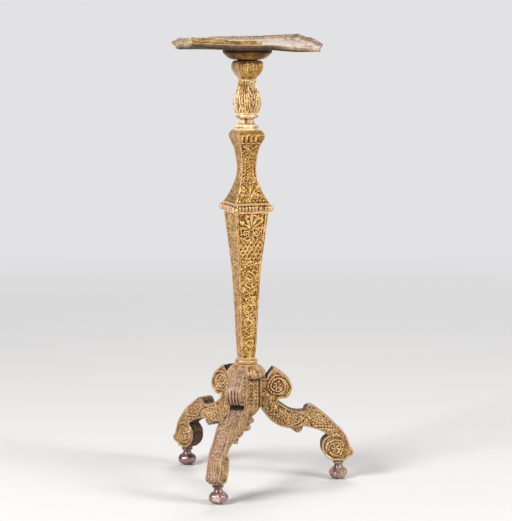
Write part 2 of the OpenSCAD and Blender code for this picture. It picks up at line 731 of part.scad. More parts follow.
module foot(turn) {
    collar_z = foot_h - foot_collar_h;
    half_h = (ball_h + foot_flat) / 2;
    lowest = acos(1 - foot_flat / half_h);
    ball = [for (a = [lowest : (150 - lowest) / 14 : 150.01])
        [ball_r * sin(a), half_h * (1 - cos(a)) - foot_flat]];
    color(copper_brown) rotate([0, 0, turn]) translate([0, -stance_r, 0]) turned(concat(
        [[ball[0][0], 0]], ball,
        smooth([[foot_neck_r, collar_z - 4], [foot_neck_r, collar_z - 1], [foot_collar_r - 1.5, collar_z]]),
        smooth([[foot_collar_r, collar_z + 1.5], [foot_collar_r, collar_z + 3],
                [foot_collar_r - 1.5, foot_h - 3]]),
        [[foot_collar_r, foot_h - 2], [foot_collar_r, foot_h], [foot_spigot_r, foot_h],
         [foot_spigot_r, foot_h + foot_spigot_l]]));
}

top_board();
rim_front();
rim_right();
rim_back();
rim_left();
top_disc();
top_screws();
capital();
baluster();
waisted_block();
knop_moulding();
knop_corner_beads();
tapered_shaft();
shaft_ring();
hub_dome();
hub_body();
hub_pendant();
leg(0);  // leg_front
leg(right_leg_turn);  // leg_right
leg(left_leg_turn);  // leg_left
leg_scroll(0);  // leg_scroll_front
leg_scroll(right_leg_turn);  // leg_scroll_right
leg_scroll(left_leg_turn);  // leg_scroll_left
leg_bracket(0);  // leg_bracket_front
leg_bracket(right_leg_turn);  // leg_bracket_right
leg_bracket(left_leg_turn);  // leg_bracket_left
leg_pegs();
foot(0);  // foot_front
foot(right_leg_turn);  // foot_right
foot(left_leg_turn);  // foot_left
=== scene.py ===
"""Looks of the torchere candle stand: carved, gilded and worn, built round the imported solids.

Shapes are worked out in millimetres in the frame's own axes and turned into metres when a mesh is made.
A carved surface is a fine grid pushed in and out by strokes: ribs, grooves, leaves, curls and rosettes.
"""

import itertools
import math

import bpy
import numpy as np
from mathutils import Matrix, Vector

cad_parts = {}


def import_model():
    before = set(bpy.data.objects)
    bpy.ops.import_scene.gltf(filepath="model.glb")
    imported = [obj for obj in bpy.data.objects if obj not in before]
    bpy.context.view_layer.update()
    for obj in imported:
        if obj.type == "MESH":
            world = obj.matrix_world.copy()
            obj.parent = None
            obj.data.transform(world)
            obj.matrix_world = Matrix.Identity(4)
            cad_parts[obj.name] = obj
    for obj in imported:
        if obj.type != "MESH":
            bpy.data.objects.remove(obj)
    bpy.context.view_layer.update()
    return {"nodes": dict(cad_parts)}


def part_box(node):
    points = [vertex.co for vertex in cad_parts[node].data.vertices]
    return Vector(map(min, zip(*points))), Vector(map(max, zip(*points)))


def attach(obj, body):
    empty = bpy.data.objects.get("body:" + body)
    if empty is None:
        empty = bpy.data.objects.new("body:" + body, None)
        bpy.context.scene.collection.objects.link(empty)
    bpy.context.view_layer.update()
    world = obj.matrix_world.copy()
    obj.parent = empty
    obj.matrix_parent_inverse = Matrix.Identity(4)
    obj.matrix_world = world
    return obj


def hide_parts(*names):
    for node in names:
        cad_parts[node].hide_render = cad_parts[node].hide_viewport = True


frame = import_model()

MM = 0.001
TAU = 2 * math.pi

# ---- Driving sizes, in millimetres and degrees: those of the solids, and the turn of the camera ----

LEG_TURNS = {"front": 0, "right": 113, "left": 238}
CAMERA_TURN = 16.8
STANCE_R = 200
LEG_W = 33
LEG_RISE = 185
LEG_FACE_R = 27
SCROLL_W, SCROLL_H = 30, 11
BRACKET_W, BRACKET_H = 26, 13
FOOT_COLLAR_R = 12
HUB_R = 30
DOME_R, DOME_TOP_R = 41.5, 22
STEM_TURN = 36.6
SHAFT_TOP_HALF, SHAFT_FOOT_HALF = 37.2, 15
BLOCK_FOOT_HALF, WAIST_HALF, CORNICE_HALF, CORNICE_TOP_HALF = 40.2, 16.6, 30.1, 24
KNOP_HALF = 41.5
BEAD_R = 7
PLINTH_HALF, PLINTH_TURN = 20.65, 1.8
VASE_R, VASE_RING_R, BALUSTER_NECK_R = 29, 23.8, 15.8
CAPITAL_R, CAPITAL_FOOT_R, CAPITAL_NECK_R = 33.4, 19, 22
DISC_R, DISC_FOOT_R = 51.8, 30.5
TOP_HALF, TOP_TURN = 137, 25.6
BOARD_HALF, BOARD_T = 133, 10.5
RIM_H, RIM_W, RIM_OVERHANG = 12.5, 14, 4
FRONT_RIM_PART = 0.56
FLAT_HALF, WARP_RISE, WARP_DROP, BOARD_DISH = 37, 4.5, 9, 0.5
DOME_LOBES = 13
HUB_LEAVES = 15
VASE_PLUMES = 4
CAPITAL_LEAVES = 6

# The old stem leans this far above its knop, towards this turn
LEAN, LEAN_TURN = 2.7, 16.8
# Depth of the carving left on the stem's four faces, the front one first, and how far each is rubbed
SIDE_DEPTHS = (1.0, 0.9, 0.85, 0.75)
SIDE_RUBBING = (0.0, 0.2, 0.3, 0.45)
# Rubbing of each leg as a whole
LEG_RUBBING = {"front": 0.3, "right": 0.0, "left": 0.15}
# Heights of the carving's ground under the outer surface, on each kind of piece
SHAFT_GROUND, BLOCK_GROUND, KNOP_GROUND, HUB_GROUND = -3.0, -2.4, -1.4, -1.8
VASE_GROUND, CAPITAL_GROUND, LEG_GROUND, VOLUTE_GROUND, PLANTED_GROUND = -1.9, -1.6, -1.9, -2.6, -1.8


def low_z(node):
    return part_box(node)[0][2] / MM


def high_z(node):
    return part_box(node)[1][2] / MM


# Heights of the joints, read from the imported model
FOOT_Z = high_z("foot_front") - 18
DOME_Z = low_z("hub_dome")
RING_Z = high_z("hub_dome")
SHAFT_Z = high_z("shaft_ring")
KNOP_Z = low_z("knop_moulding")
BLOCK_Z = high_z("knop_moulding")
BALUSTER_Z = high_z("waisted_block")
CAPITAL_Z = low_z("capital")
DISC_Z = low_z("top_disc")
BOARD_Z = high_z("top_disc")
RIM_Z = BOARD_Z + BOARD_T
HUB_Z = DOME_Z - 64
NOSE_Z = low_z("hub_body")

# ---- Curves and noise ----


def smooth(points, steps=8):
    """A smooth curve through the points."""
    p = np.asarray(points, float)
    q = np.vstack([p[:1], p, p[-1:]])
    t = np.linspace(0, 1, steps, endpoint=False)[:, None]
    runs = [
        0.5 * (2 * b + (c - a) * t + (2 * a - 5 * b + 4 * c - d) * t**2 + (3 * b - a - 3 * c + d) * t**3)
        for a, b, c, d in zip(q, q[1:], q[2:], q[3:])
    ]
    return np.vstack(runs + [p[-1:]])


def along(path, shares, values):
    """A value for each point of a path, given at some shares of its points."""
    return np.interp(np.linspace(0, 1, len(path)), shares, values)


def resample(path, step):
    """The path with a point at least every step, its own points kept."""
    out = [path[0]]
    for a, b in zip(path, path[1:]):
        n = max(1, int(np.ceil(np.linalg.norm(b - a) / step)))
        out += [a + (b - a) * k / n for k in range(1, n + 1)]
    return np.array(out)


def ease(t):
    """Smooth step from 0 to 1."""
    t = np.clip(t, 0, 1)
    return t * t * (3 - 2 * t)


def hump(off, width):
    """1 where off is 0, falling smoothly to 0 at the width on both sides."""
    return ease(1 - np.abs(off) / width)


def noise(points, size, seed):
    """Smooth noise from -1 to 1 at points in millimetres, with cells of the given size."""
    table = np.random.default_rng(seed).uniform(-1, 1, 4096)
    q = np.asarray(points) / size
    cell = np.floor(q).astype(np.int64)
    f = q - cell
    f = f * f * (3 - 2 * f)
    out = np.zeros(q.shape[:-1])
    for corner in itertools.product((0, 1), repeat=3):
        c = cell + np.array(corner)
        key = (c[..., 0] * 73856093 ^ c[..., 1] * 19349663 ^ c[..., 2] * 83492791) & 4095
        weight = np.prod(np.where(corner, f, 1 - f), axis=-1)
        out += weight * table[key]
    return out


def waves(off, pitch):
    """Waves from 0 to 1 across a surface, 0 where off is 0."""
    return 0.5 - 0.5 * np.cos(off / pitch * TAU)


def flat_noise(x, y, size, seed):
    """The same noise over places x, y of a surface."""
    return noise(np.stack([x, y, 0 * x], axis=-1), size, seed)


# ---- Carving ----


def directions(path):
    """At each point of a path, the direction along it and the one across it."""
    ahead = np.gradient(path, axis=0)
    ahead /= np.linalg.norm(ahead, axis=1)[:, None] + 1e-9
    return ahead, np.stack([-ahead[:, 1], ahead[:, 0]], axis=1)


def ridge(x, y, path, width, height):
    """Height at x, y of a rounded ridge along the path, whose half width and height may change along it."""
    path = np.asarray(path, float)
    width = np.broadcast_to(width, len(path))
    height = np.broadcast_to(height, len(path))
    reach = width.max()
    low, high = path.min(axis=0) - reach, path.max(axis=0) + reach
    near = (x > low[0]) & (x < high[0]) & (y > low[1]) & (y < high[1])
    px, py = x[near], y[near]
    best = np.zeros(len(px))
    for k in range(len(path) - 1):
        (ax, ay), (dx, dy) = path[k], path[k + 1] - path[k]
        t = np.clip(((px - ax) * dx + (py - ay) * dy) / (dx * dx + dy * dy + 1e-9), 0, 1)
        off = np.hypot(px - ax - t * dx, py - ay - t * dy)
        w = width[k] + (width[k + 1] - width[k]) * t
        h = height[k] + (height[k + 1] - height[k]) * t
        best = np.maximum(best, h * np.sqrt(np.clip(1 - (off / np.maximum(w, 0.01)) ** 2, 0, 1)))
    out = np.zeros_like(x)
    out[near] = best
    return out


def vermicular(x, y, cell, seed):
    """Worm-like ridges, from 0 to 1, that wander over a surface and fill its ground."""
    place = np.stack([0.82 * x + 0.57 * y, 0.82 * y - 0.57 * x, 0 * x + seed], axis=-1)
    sway = noise(place + 3.7, cell * 1.3, seed + 1)[..., None] * np.array([0.45, -0.3, 0.5]) * cell
    return hump(noise(place + sway, cell, seed), 0.32)


class Carving:
    """Heights in millimetres over places x, y of a surface, built up stroke by stroke from its ground, which
    is filled with wandering ridges of the height fill. The hand shakes by up to sway."""

    def __init__(self, x, y, ground, fill=0.0, cell=5.0, seed=7, sway=0.0):
        if sway:
            place = np.stack([x, y, 0 * x + seed], axis=-1)
            x = x + sway * (noise(place, 13, seed + 5) + 0.5 * noise(place, 5, seed + 6))
            y = y + sway * (noise(place, 13, seed + 8) + 0.5 * noise(place, 5, seed + 9))
        self.x, self.y, self.ground = x, y, ground
        self.h = ground + fill * vermicular(x, y, cell, seed)

    def rib(self, path, width, height):
        self.h = np.maximum(self.h, self.ground + ridge(self.x, self.y, path, width, height))

    def groove(self, path, width, depth):
        self.h -= ridge(self.x, self.y, path, width, depth)

    def boss(self, x, y, radius, height):
        off = np.hypot(self.x - x, self.y - y) / radius
        self.h = np.maximum(self.h, self.ground + height * np.sqrt(np.clip(1 - off**2, 0, 1)))

    def pit(self, x, y, radius, depth):
        off = np.hypot(self.x - x, self.y - y) / radius
        self.h -= depth * ease(1.2 - off)

    def curl(self, x, y, outer, inner, turns, start, hand, width, height):
        """A spiral rib round x, y, from its outer radius in to its inner one."""
        t = np.linspace(0, 1, int(20 * turns) + 2)
        angle = math.radians(start) + hand * TAU * turns * t
        radius = outer + (inner - outer) * t**0.8
        path = np.stack([x + radius * np.cos(angle), y + radius * np.sin(angle)], axis=1)
        self.rib(path, width * (1 - 0.35 * t), height)
        self.boss(x, y, inner * 1.05, height)

    def rosette(self, x, y, radius, petals, height):
        """A flower of fat petals round a button, with a pit between each petal and the next."""
        for k in range(petals):
            a = TAU * (k + 0.5) / petals
            spoke = np.array([[x + r * radius * math.cos(a), y + r * radius * math.sin(a)]
                              for r in (0.42, 0.7)])
            self.rib(spoke, [radius * 0.24, radius * min(0.38, 1.9 / petals)], height * 0.9)
            b = TAU * k / petals
            self.pit(x + radius * 0.62 * math.cos(b), y + radius * 0.62 * math.sin(b), radius * 0.26,
                     height * 0.6)
        self.boss(x, y, radius * 0.3, height)

    def leaf(self, path, width, height, lobes=0, vein=0.45):
        """A leaf along the path, broadest at its middle, with lobes along both sides and a sunk vein."""
        path = np.asarray(path, float)
        t = np.linspace(0, 1, len(path))
        swell = np.sin(math.pi * (0.12 + 0.83 * t)) ** 0.8
        self.rib(path, width * swell * (0.62 if lobes else 1), height)
        ahead, across = directions(path)
        for k in range(lobes):
            i = int((k + 0.6) / (lobes + 0.4) * (len(path) - 1))
            size = width * swell[i]
            for side in (-1, 1):
                tip = path[i] + side * across[i] * size * 0.95 + ahead[i] * size * 0.75
                self.rib([path[i], tip], [size * 0.34, size * 0.24], [height * 0.95, height * 0.6])
        if vein:
            self.groove(path[: int(len(path) * 0.85)], max(0.7, width * 0.16), height * vein)

    def feather(self, path, width, strokes, height, rng):
        """A plume along the path: a thin rib with long slanting strokes of uneven height on both sides."""
        path = np.asarray(path, float)
        ahead, across = directions(path)
        self.rib(path, np.linspace(1.6, 1.0, len(path)), height)
        for k in range(strokes):
            share = (k + 0.4) / (strokes + 0.2)
            i = int(share * (len(path) - 1))
            size = width * math.sin(math.pi * (0.18 + 0.74 * share)) ** 0.6
            for side in (-1, 1):
                tip = path[i] + across[i] * side * size + ahead[i] * size * rng.uniform(0.8, 1.3)
                middle = path[i] + across[i] * side * size * 0.65 + ahead[i] * size * 0.35
                self.rib(smooth([path[i], middle, tip], 3), rng.uniform(1.3, 1.9),
                         height * rng.uniform(0.6, 1.1))


# ---- Meshes ----


def neighbours_mean(values, edges, times):
    """Values averaged over each point's neighbours, again and again."""
    a, b = edges.T
    count = len(values)
    degree = np.bincount(a, minlength=count) + np.bincount(b, minlength=count)
    degree = np.maximum(degree, 1)
    out = values.copy()
    for _ in range(times):
        for axis in range(out.shape[1]):
            v = out[:, axis]
            total = np.bincount(a, v[b], count) + np.bincount(b, v[a], count)
            out[:, axis] = 0.5 * v + 0.5 * total / degree
    return out


def with_ends(values, fill=0.0):
    """Values of a closed grid's points, with those of the middle points of its two ends."""
    return np.r_[values.ravel(), fill, fill]


def point_values(items, kind, key, width):
    """One attribute of all of a mesh's vertices or edges, a row of width numbers for each."""
    values = np.empty(len(items) * width, kind)
    items.foreach_get(key, values)
    return values.reshape(-1, width)


def shown(name, data):
    """A new object of the scene that shows a mesh, a lamp or a camera."""
    obj = bpy.data.objects.new(name, data)
    bpy.context.scene.collection.objects.link(obj)
    return obj


def piece(name, verts, faces, material, nodes=(), reach=14, depth=1.3, wear=None, shade_and_soot=None):
    """Makes one piece of the part. Its relief attribute says how far each point stands out of the surface
    round it: 0.5 is level, 1 stands depth millimetres proud and 0 lies as deep. Where given, wear says how
    far its gilding is rubbed away, and the darkening attribute how dark it is painted, both from 0 to 1:
    mostly painted shade in hollows, under overhangs and on faces turned from the light, and in places real
    dirt."""
    mesh = bpy.data.meshes.new(name)
    mesh.from_pydata((verts * MM).tolist(), [], faces)
    mesh.update()
    mesh.validate()
    mesh.shade_smooth()
    edges = point_values(mesh.edges, int, "vertices", 2)
    normals = point_values(mesh.vertex_normals, float, "vector", 3)
    stand = ((verts - neighbours_mean(verts, edges, reach)) * normals).sum(axis=1)
    layers = {"relief": np.clip(0.5 + 0.5 * stand / depth, 0, 1), "wear": wear, "shade_and_soot": shade_and_soot}
    for key, values in layers.items():
        if values is not None:
            mesh.attributes.new(key, "FLOAT", "POINT").data.foreach_set("value", np.clip(values, 0, 1))
    mesh.materials.append(material)
    obj = shown(name, mesh)
    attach(obj, "root")
    if nodes:
        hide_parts(*nodes)
    return obj


def grid_faces(rows, cols, first):
    """Quads of a grid closed round its columns, with a fan of triangles over each end."""
    k = np.arange(rows * cols).reshape(rows, cols) + first
    nxt = np.roll(k, -1, axis=1)
    quads = np.stack([k[:-1], nxt[:-1], nxt[1:], k[1:]], axis=-1).reshape(-1, 4).tolist()
    foot, head = first + rows * cols, first + rows * cols + 1
    fans = [[foot, b, a] for a, b in zip(k[0].tolist(), nxt[0].tolist())]
    fans += [[head, a, b] for a, b in zip(k[-1].tolist(), nxt[-1].tolist())]
    return quads + fans


def closed_grid(grid, first=0):
    """Vertices of a grid with the middle of each end row added, and its faces. first is its first vertex."""
    rows, cols, _ = grid.shape
    verts = np.vstack([grid.reshape(-1, 3), grid[0].mean(axis=0), grid[-1].mean(axis=0)])
    return verts, grid_faces(rows, cols, first)


def grid_normals(grid):
    """Outward normals of a grid closed round its columns."""
    across = np.roll(grid, -1, axis=1) - np.roll(grid, 1, axis=1)
    up = np.gradient(grid, axis=0)
    n = np.cross(across, up)
    return n / (np.linalg.norm(n, axis=-1, keepdims=True) + 1e-9)


def pushed(grid, height):
    """The grid with each point pushed outward by its height."""
    return grid + grid_normals(grid) * height[..., None]


def joined(parts):
    """Several closed grids as one list of vertices and faces."""
    verts, faces, first = [], [], 0
    for grid in parts:
        own_verts, own_faces = closed_grid(grid, first)
        verts.append(own_verts)
        faces += own_faces
        first += len(own_verts)
    return np.vstack(verts), faces


def grid_piece(name, grid, material, node, reach=14, depth=1.3, wear=None, shade_and_soot=None,
               end_shade_and_soot=0.0, flipped=False):
    """A piece made of one closed grid. Its wear and darkening are given at the grid's own points."""
    verts, faces = closed_grid(grid)
    if flipped:
        faces = [f[::-1] for f in faces]
    wear = None if wear is None else with_ends(wear)
    shade_and_soot = None if shade_and_soot is None else with_ends(shade_and_soot, end_shade_and_soot)
    return piece(name, verts, faces, material, [node], reach, depth, wear, shade_and_soot)


def worn(grid, seed, dent=0.25, cell=9.0):
    """The grid with the soft unevenness of handwork and small dents."""
    uneven = noise(grid, cell, seed) * dent + noise(grid, cell / 3.1, seed + 1) * dent * 0.5
    dents = -ease((noise(grid, 4.0, seed + 2) - 0.62) / 0.3) * dent * 2.2
    return pushed(grid, uneven + dents)


# ---- Turned and square-sectioned pieces ----


def rising(foot, head, *points):
    """Points of an outline, given as a radius and a share of the way up from the foot to the head."""
    return [[r, foot + share * (head - foot)] for r, share in points]


def turned_grid(outline, cols, step=1.0):
    """A grid of a turned shape, with each point's angle and the distance run up the outline."""
    line = resample(np.asarray(outline, float), step)
    run = np.r_[0, np.cumsum(np.linalg.norm(np.diff(line, axis=0), axis=1))]
    angle = np.arange(cols) * TAU / cols
    r, a = np.meshgrid(line[:, 0], angle, indexing="ij")
    z = np.broadcast_to(line[:, 1][:, None], r.shape)
    grid = np.stack([r * np.sin(a), -r * np.cos(a), z], axis=-1)
    return grid, a, np.broadcast_to(run[:, None], r.shape)


def spun(points, turn):
    """Points turned about the stem's axis, in degrees."""
    c, s = math.cos(math.radians(turn)), math.sin(math.radians(turn))
    x, y = points[..., 0], points[..., 1]
    return np.stack([c * x - s * y, s * x + c * y, points[..., 2]], axis=-1)


def lean(points):
    """The old stem leans a little to one side above its knop."""
    share = np.clip((points[..., 2] - KNOP_Z) / (DISC_Z - KNOP_Z), 0, 1)
    side = np.array([math.cos(math.radians(LEAN_TURN)), math.sin(math.radians(LEAN_TURN)), 0])
    return points + (LEAN * share)[..., None] * side


def wrapped(angle, turn):
    """Each angle, in radians, measured from a turn in degrees, from minus half a turn to half a turn."""
    return (angle - math.radians(turn) + math.pi) % TAU - math.pi


def sector(angle, count, shift=0.0):
    """Each angle measured from the middle of its own sector, out of count sectors round the axis."""
    width = TAU / count
    return (angle + shift + width / 2) % width - width / 2


SQUARE_CORNER_COLS = 5
CORNER_RUBBING = 0.35


def square_grid(outline, cols, corner_r, step=1.0):
    """A grid of a square-sectioned shape with eased corners: the points, the distance x across each face
    from its middle line, the half side there, and which points lie on a corner."""
    line = resample(np.asarray(outline, float), step)
    half = line[:, 0][:, None]
    flat = np.linspace(-1, 1, cols)[None, :]
    bend = np.radians(np.linspace(0, 90, SQUARE_CORNER_COLS + 2)[1:-1])[None, :]
    x = np.hstack([(half - corner_r) * flat, half - corner_r + corner_r * np.sin(bend)])
    out = np.hstack([half + 0 * flat, half - corner_r + corner_r * np.cos(bend)])
    z = np.broadcast_to(line[:, 1][:, None], x.shape)
    on_corner = np.hstack([0 * half + 0 * flat, 0 * half + 1 + 0 * bend]) > 0
    face = np.stack([x, -out, z], axis=-1)
    grid = np.hstack([spun(face, 90 * k) for k in range(4)])
    halves = np.broadcast_to(half, x.shape)
    return grid, x, z, halves, on_corner


def square_carved(name, outline, cols, corner_r, carve, node, material, seed, step=1.0, depths=SIDE_DEPTHS,
                  rubbed=SIDE_RUBBING):
    """A square-sectioned piece of the stem whose four faces carry the same carving, each with its own share
    of the depth and of the rubbing."""
    grid, x, z, half, on_corner = square_grid(outline, cols, corner_r, step)
    h = np.where(on_corner, 0, carve(x, z, half))
    grid = pushed(grid, np.hstack([h * share for share in depths]))
    wear = np.hstack([0 * h + share + on_corner * CORNER_RUBBING for share in rubbed])
    grid_piece(name, lean(worn(spun(grid, STEM_TURN), seed)), material, node, wear=wear)


# ---- Materials ----


class Nodes:
    """A material's node tree, with short calls that make and link nodes."""

    def __init__(self, name):
        self.material = bpy.data.materials.new(name)
        self.material.use_nodes = True
        self.tree = self.material.node_tree
        self.shader = self.tree.nodes["Principled BSDF"]

    def new(self, kind, **inputs):
        node = self.tree.nodes.new(kind)
        for key, value in inputs.items():
            self.feed(node.inputs[key], value)
        return node

    def feed(self, socket, value):
        if isinstance(value, bpy.types.NodeSocket):
            self.tree.links.new(value, socket)
        else:
            socket.default_value = value

    def place(self):
        return self.new("ShaderNodeTexCoord").outputs["Object"]

    def noise(self, scale, detail, roughness, distortion=0.0):
        node = self.new("ShaderNodeTexNoise", Vector=self.place(), Scale=scale, Detail=detail,
                        Roughness=roughness, Distortion=distortion)
        return node.outputs["Fac"]

    def attribute(self, name):
        node = self.new("ShaderNodeAttribute")
        node.attribute_name = name
        return node.outputs["Fac"]

    def spread(self, value, low, high, to_low=0.0, to_high=1.0):
        node = self.new("ShaderNodeMapRange", Value=value)
        node.interpolation_type = "SMOOTHSTEP"
        for key, number in (("From Min", low), ("From Max", high), ("To Min", to_low), ("To Max", to_high)):
            node.inputs[key].default_value = number
        return node.outputs["Result"]

    def maths(self, operation, a, b):
        node = self.new("ShaderNodeMath")
        node.operation = operation
        self.feed(node.inputs[0], a)
        self.feed(node.inputs[1], b)
        return node.outputs[0]

    def times(self, a, b):
        return self.maths("MULTIPLY", a, b)

    def plus(self, a, b):
        return self.maths("ADD", a, b)

    def most(self, a, b):
        return self.maths("MAXIMUM", a, b)

    def mix(self, factor, a, b):
        node = self.new("ShaderNodeMix")
        node.data_type = "RGBA"
        self.feed(node.inputs["Factor"], factor)
        self.feed(node.inputs["A"], a)
        self.feed(node.inputs["B"], b)
        return node.outputs["Result"]

    def ramp(self, value, *stops):
        """A ramp of colours. Each stop is its place and its colour, as three numbers from 0 to 255."""
        node = self.new("ShaderNodeValToRGB", Fac=value)
        ends = node.color_ramp.elements
        while len(ends) < len(stops):
            ends.new(0.5)
        for element, (at, *rgb) in zip(ends, stops):
            element.position = at
            element.color = colour(*rgb)
        return node.outputs["Color"]

    def set(self, key, value):
        self.feed(self.shader.inputs[key], value)

    def bump(self, height, strength, distance):
        node = self.new("ShaderNodeBump", Height=height, Strength=strength, Distance=distance)
        self.set("Normal", node.outputs["Normal"])


def colour(red, green, blue):
    """A colour given as it looks on a screen, from 0 to 255, in the shader's own scale."""
    c = np.array([red, green, blue]) / 255
    linear = np.where(c <= 0.04045, c / 12.92, ((c + 0.055) / 1.055) ** 2.4)
    return (*linear.tolist(), 1.0)


def gilding(name, gold, bright, rubbed, shade, deep, rub=0.5, metal=0.6, patchy=1.0,
            rub_dark=(172, 136, 114)):
    """Old water gilding, rubbed through to ground and gesso where it stands proud. It is dark in its hollows
    and bright where it stands proud, partly the toning of old gilding and partly painted shade and painted
    highlight, and darker still where the darkening attribute is set, mostly as painted shade.
    """
    n = Nodes(name)
    relief = n.attribute("relief")
    patches = n.noise(38, 5, 0.6)
    grain = n.noise(420, 6, 0.65)
    stroke = n.noise(150, 4, 0.6, 0.4)
    cloud = n.spread(n.noise(72, 3, 0.6), 0.34, 0.66, -0.1, 0.1)
    tone = n.plus(n.plus(relief, cloud), n.spread(stroke, 0.3, 0.7, -0.1, 0.1))
    # The dark stops in the hollows are partly real toning, partly painted shade; the bright stop on proud
    # places is partly a painted highlight.
    base = n.ramp(tone, (0.08, *deep), (0.29, *shade), (0.49, *gold), (0.77, *bright))
    red = n.ramp(tone, (0.06, *deep), (0.3, 112, 66, 34), (0.52, 172, 112, 62), (0.84, 216, 166, 112))
    redder = n.mix(n.spread(patches, 0.44, 0.68, 0.0, 0.5 * patchy), base, red)
    green = n.ramp(tone, (0.06, *deep), (0.28, 94, 72, 26), (0.5, 166, 134, 62), (0.84, 220, 196, 122))
    olive = n.mix(n.spread(n.noise(55, 4, 0.6), 0.5, 0.68, 0.0, 0.4 * patchy), redder, green)
    specks = n.spread(n.noise(640, 3, 0.7), 0.58, 0.7)
    speckled = n.mix(n.times(specks, 0.5), olive, colour(*shade))
    where = n.times(n.spread(tone, 0.66, 0.9), n.spread(n.noise(95, 6, 0.7), 0.42, 0.62))
    broad = n.times(n.spread(n.noise(24, 6, 0.7, 0.3), 0.54, 0.7), rub)
    placed = n.times(n.attribute("wear"), n.spread(n.noise(130, 6, 0.7, 0.5), 0.36, 0.56))
    worn_away = n.maths("MINIMUM", n.plus(n.most(broad, placed), where), 1.0)
    off_hollows = n.times(worn_away, n.spread(relief, 0.3, 0.54, 0.15, 0.85))
    rub_tint = n.mix(n.spread(grain, 0.35, 0.65), colour(*rubbed), colour(*rub_dark))
    bare = n.mix(off_hollows, speckled, rub_tint)
    # Darkening from the attribute: mostly painted shade, in places real dirt.
    shade_and_dirt = n.times(n.attribute("shade_and_soot"), n.spread(n.noise(75, 5, 0.7), 0.3, 0.6, 0.93, 1.0))
    shade_and_grime = n.mix(n.spread(stroke, 0.4, 0.62), colour(40, 27, 20), colour(88, 64, 52))
    n.set("Base Color", n.mix(shade_and_dirt, bare, shade_and_grime))
    n.set("Metallic", n.times(n.spread(off_hollows, 0.1, 0.8, metal, 0.0),
                              n.spread(shade_and_dirt, 0.2, 0.8, 1.0, 0.1)))
    dull = n.most(n.spread(off_hollows, 0.0, 1.0, 0.0, 0.25), n.spread(shade_and_dirt, 0.2, 0.9, 0.0, 0.5))
    n.set("Roughness", n.plus(n.spread(grain, 0.3, 0.7, 0.26, 0.46), dull))
    n.bump(n.plus(grain, n.times(stroke, 1.6)), 0.5, 0.0007)
    return n.material


# SHADE and DEEP are the hollow tones of the gilding ramps, partly painted shade.
SHADE, DEEP = (112, 70, 20), (28, 14, 3)
GILT = gilding("old_gilding", (190, 140, 64), (244, 204, 132), (208, 180, 154), SHADE, DEEP, 0.35)
GILT_RUBBED = gilding("rubbed_gilding", (180, 136, 80), (248, 208, 150), (214, 184, 160), SHADE, DEEP,
                      0.7, 0.5)
GILT_LEG = gilding("leg_gilding", (172, 130, 76), (222, 184, 128), (186, 158, 146), (106, 72, 38),
                   (32, 20, 12), 0.5, 0.4, 1.3, (148, 116, 106))
GILT_RIM = gilding("rim_gilding", (140, 102, 48), (222, 184, 116), (236, 220, 188), (88, 58, 26), DEEP,
                   0.2, 0.35, 1.0, (210, 174, 120))
GILT_BLOCK = gilding("block_gilding", (176, 130, 62), (228, 186, 116), (198, 168, 140), SHADE, DEEP,
                     0.35, 0.6)
GILT_PALE = gilding("silvered_gilding", (196, 148, 78), (255, 228, 176), (244, 230, 212), (104, 64, 20),
                    (28, 16, 4), 0.4, 0.45, 1.0, (204, 174, 150))


def gesso():
    """Bare gesso of the tray: off-white with pinkish and brown streaks, chipped down to brown ground, tan
    where it is called worn, dark brown in its hollows as painted shade, and darker still where the darkening
    attribute is set: painted shade on the board's underside and lower front edge, real dirt streaks on the
    rims."""
    n = Nodes("worn_gesso")
    turned = n.new("ShaderNodeMapping", Vector=n.place())
    turned.vector_type = "TEXTURE"
    turned.inputs["Rotation"].default_value = (0, 0, math.radians(TOP_TURN))
    turned.inputs["Scale"].default_value = (1.0, 12.0, 1.7)
    streaks = n.new("ShaderNodeTexNoise", Vector=turned.outputs["Vector"], Scale=150.0, Detail=5.0,
                    Roughness=0.6)
    stain = n.noise(26, 6, 0.65, 0.5)
    fine = n.noise(300, 5, 0.7, 0.2)
    tone = n.plus(n.times(stain, 0.5), n.times(streaks.outputs["Fac"], 0.5))
    base = n.ramp(tone, (0.36, 160, 130, 110), (0.45, 200, 176, 160), (0.52, 238, 222, 212),
                  (0.64, 200, 172, 156))
    tan = n.ramp(tone, (0.36, 112, 86, 64), (0.46, 148, 122, 98), (0.56, 174, 148, 122), (0.68, 140, 112, 84))
    patch = n.times(n.attribute("wear"), n.spread(n.noise(120, 5, 0.7), 0.36, 0.5, 0.55, 1.0))
    aged = n.mix(patch, base, tan)
    ochre = n.mix(n.spread(n.noise(48, 6, 0.75, 0.8), 0.56, 0.66, 0.0, 0.6), aged, colour(168, 132, 78))
    chips = n.times(n.spread(n.noise(210, 5, 0.7), 0.6, 0.66), 0.6)
    chipped = n.mix(chips, ochre, colour(126, 92, 58))
    # Dark brown where the relief is low: painted shade in the hollows.
    edge = n.mix(n.spread(n.attribute("relief"), 0.26, 0.46, 0.85, 0.0), chipped, colour(86, 62, 40))
    shade_and_dirt = n.times(n.attribute("shade_and_soot"), n.spread(n.noise(110, 6, 0.7, 0.4), 0.3, 0.6, 1.0, 0.95))
    shade_and_grime = n.ramp(fine, (0.35, 38, 26, 16), (0.55, 64, 46, 30), (0.68, 98, 74, 44))
    n.set("Base Color", n.mix(shade_and_dirt, edge, shade_and_grime))
    n.set("Roughness", n.spread(fine, 0.3, 0.7, 0.55, 0.8))
    n.set("Specular IOR Level", 0.25)
    n.bump(n.plus(fine, tone), 0.4, 0.0006)
    return n.material


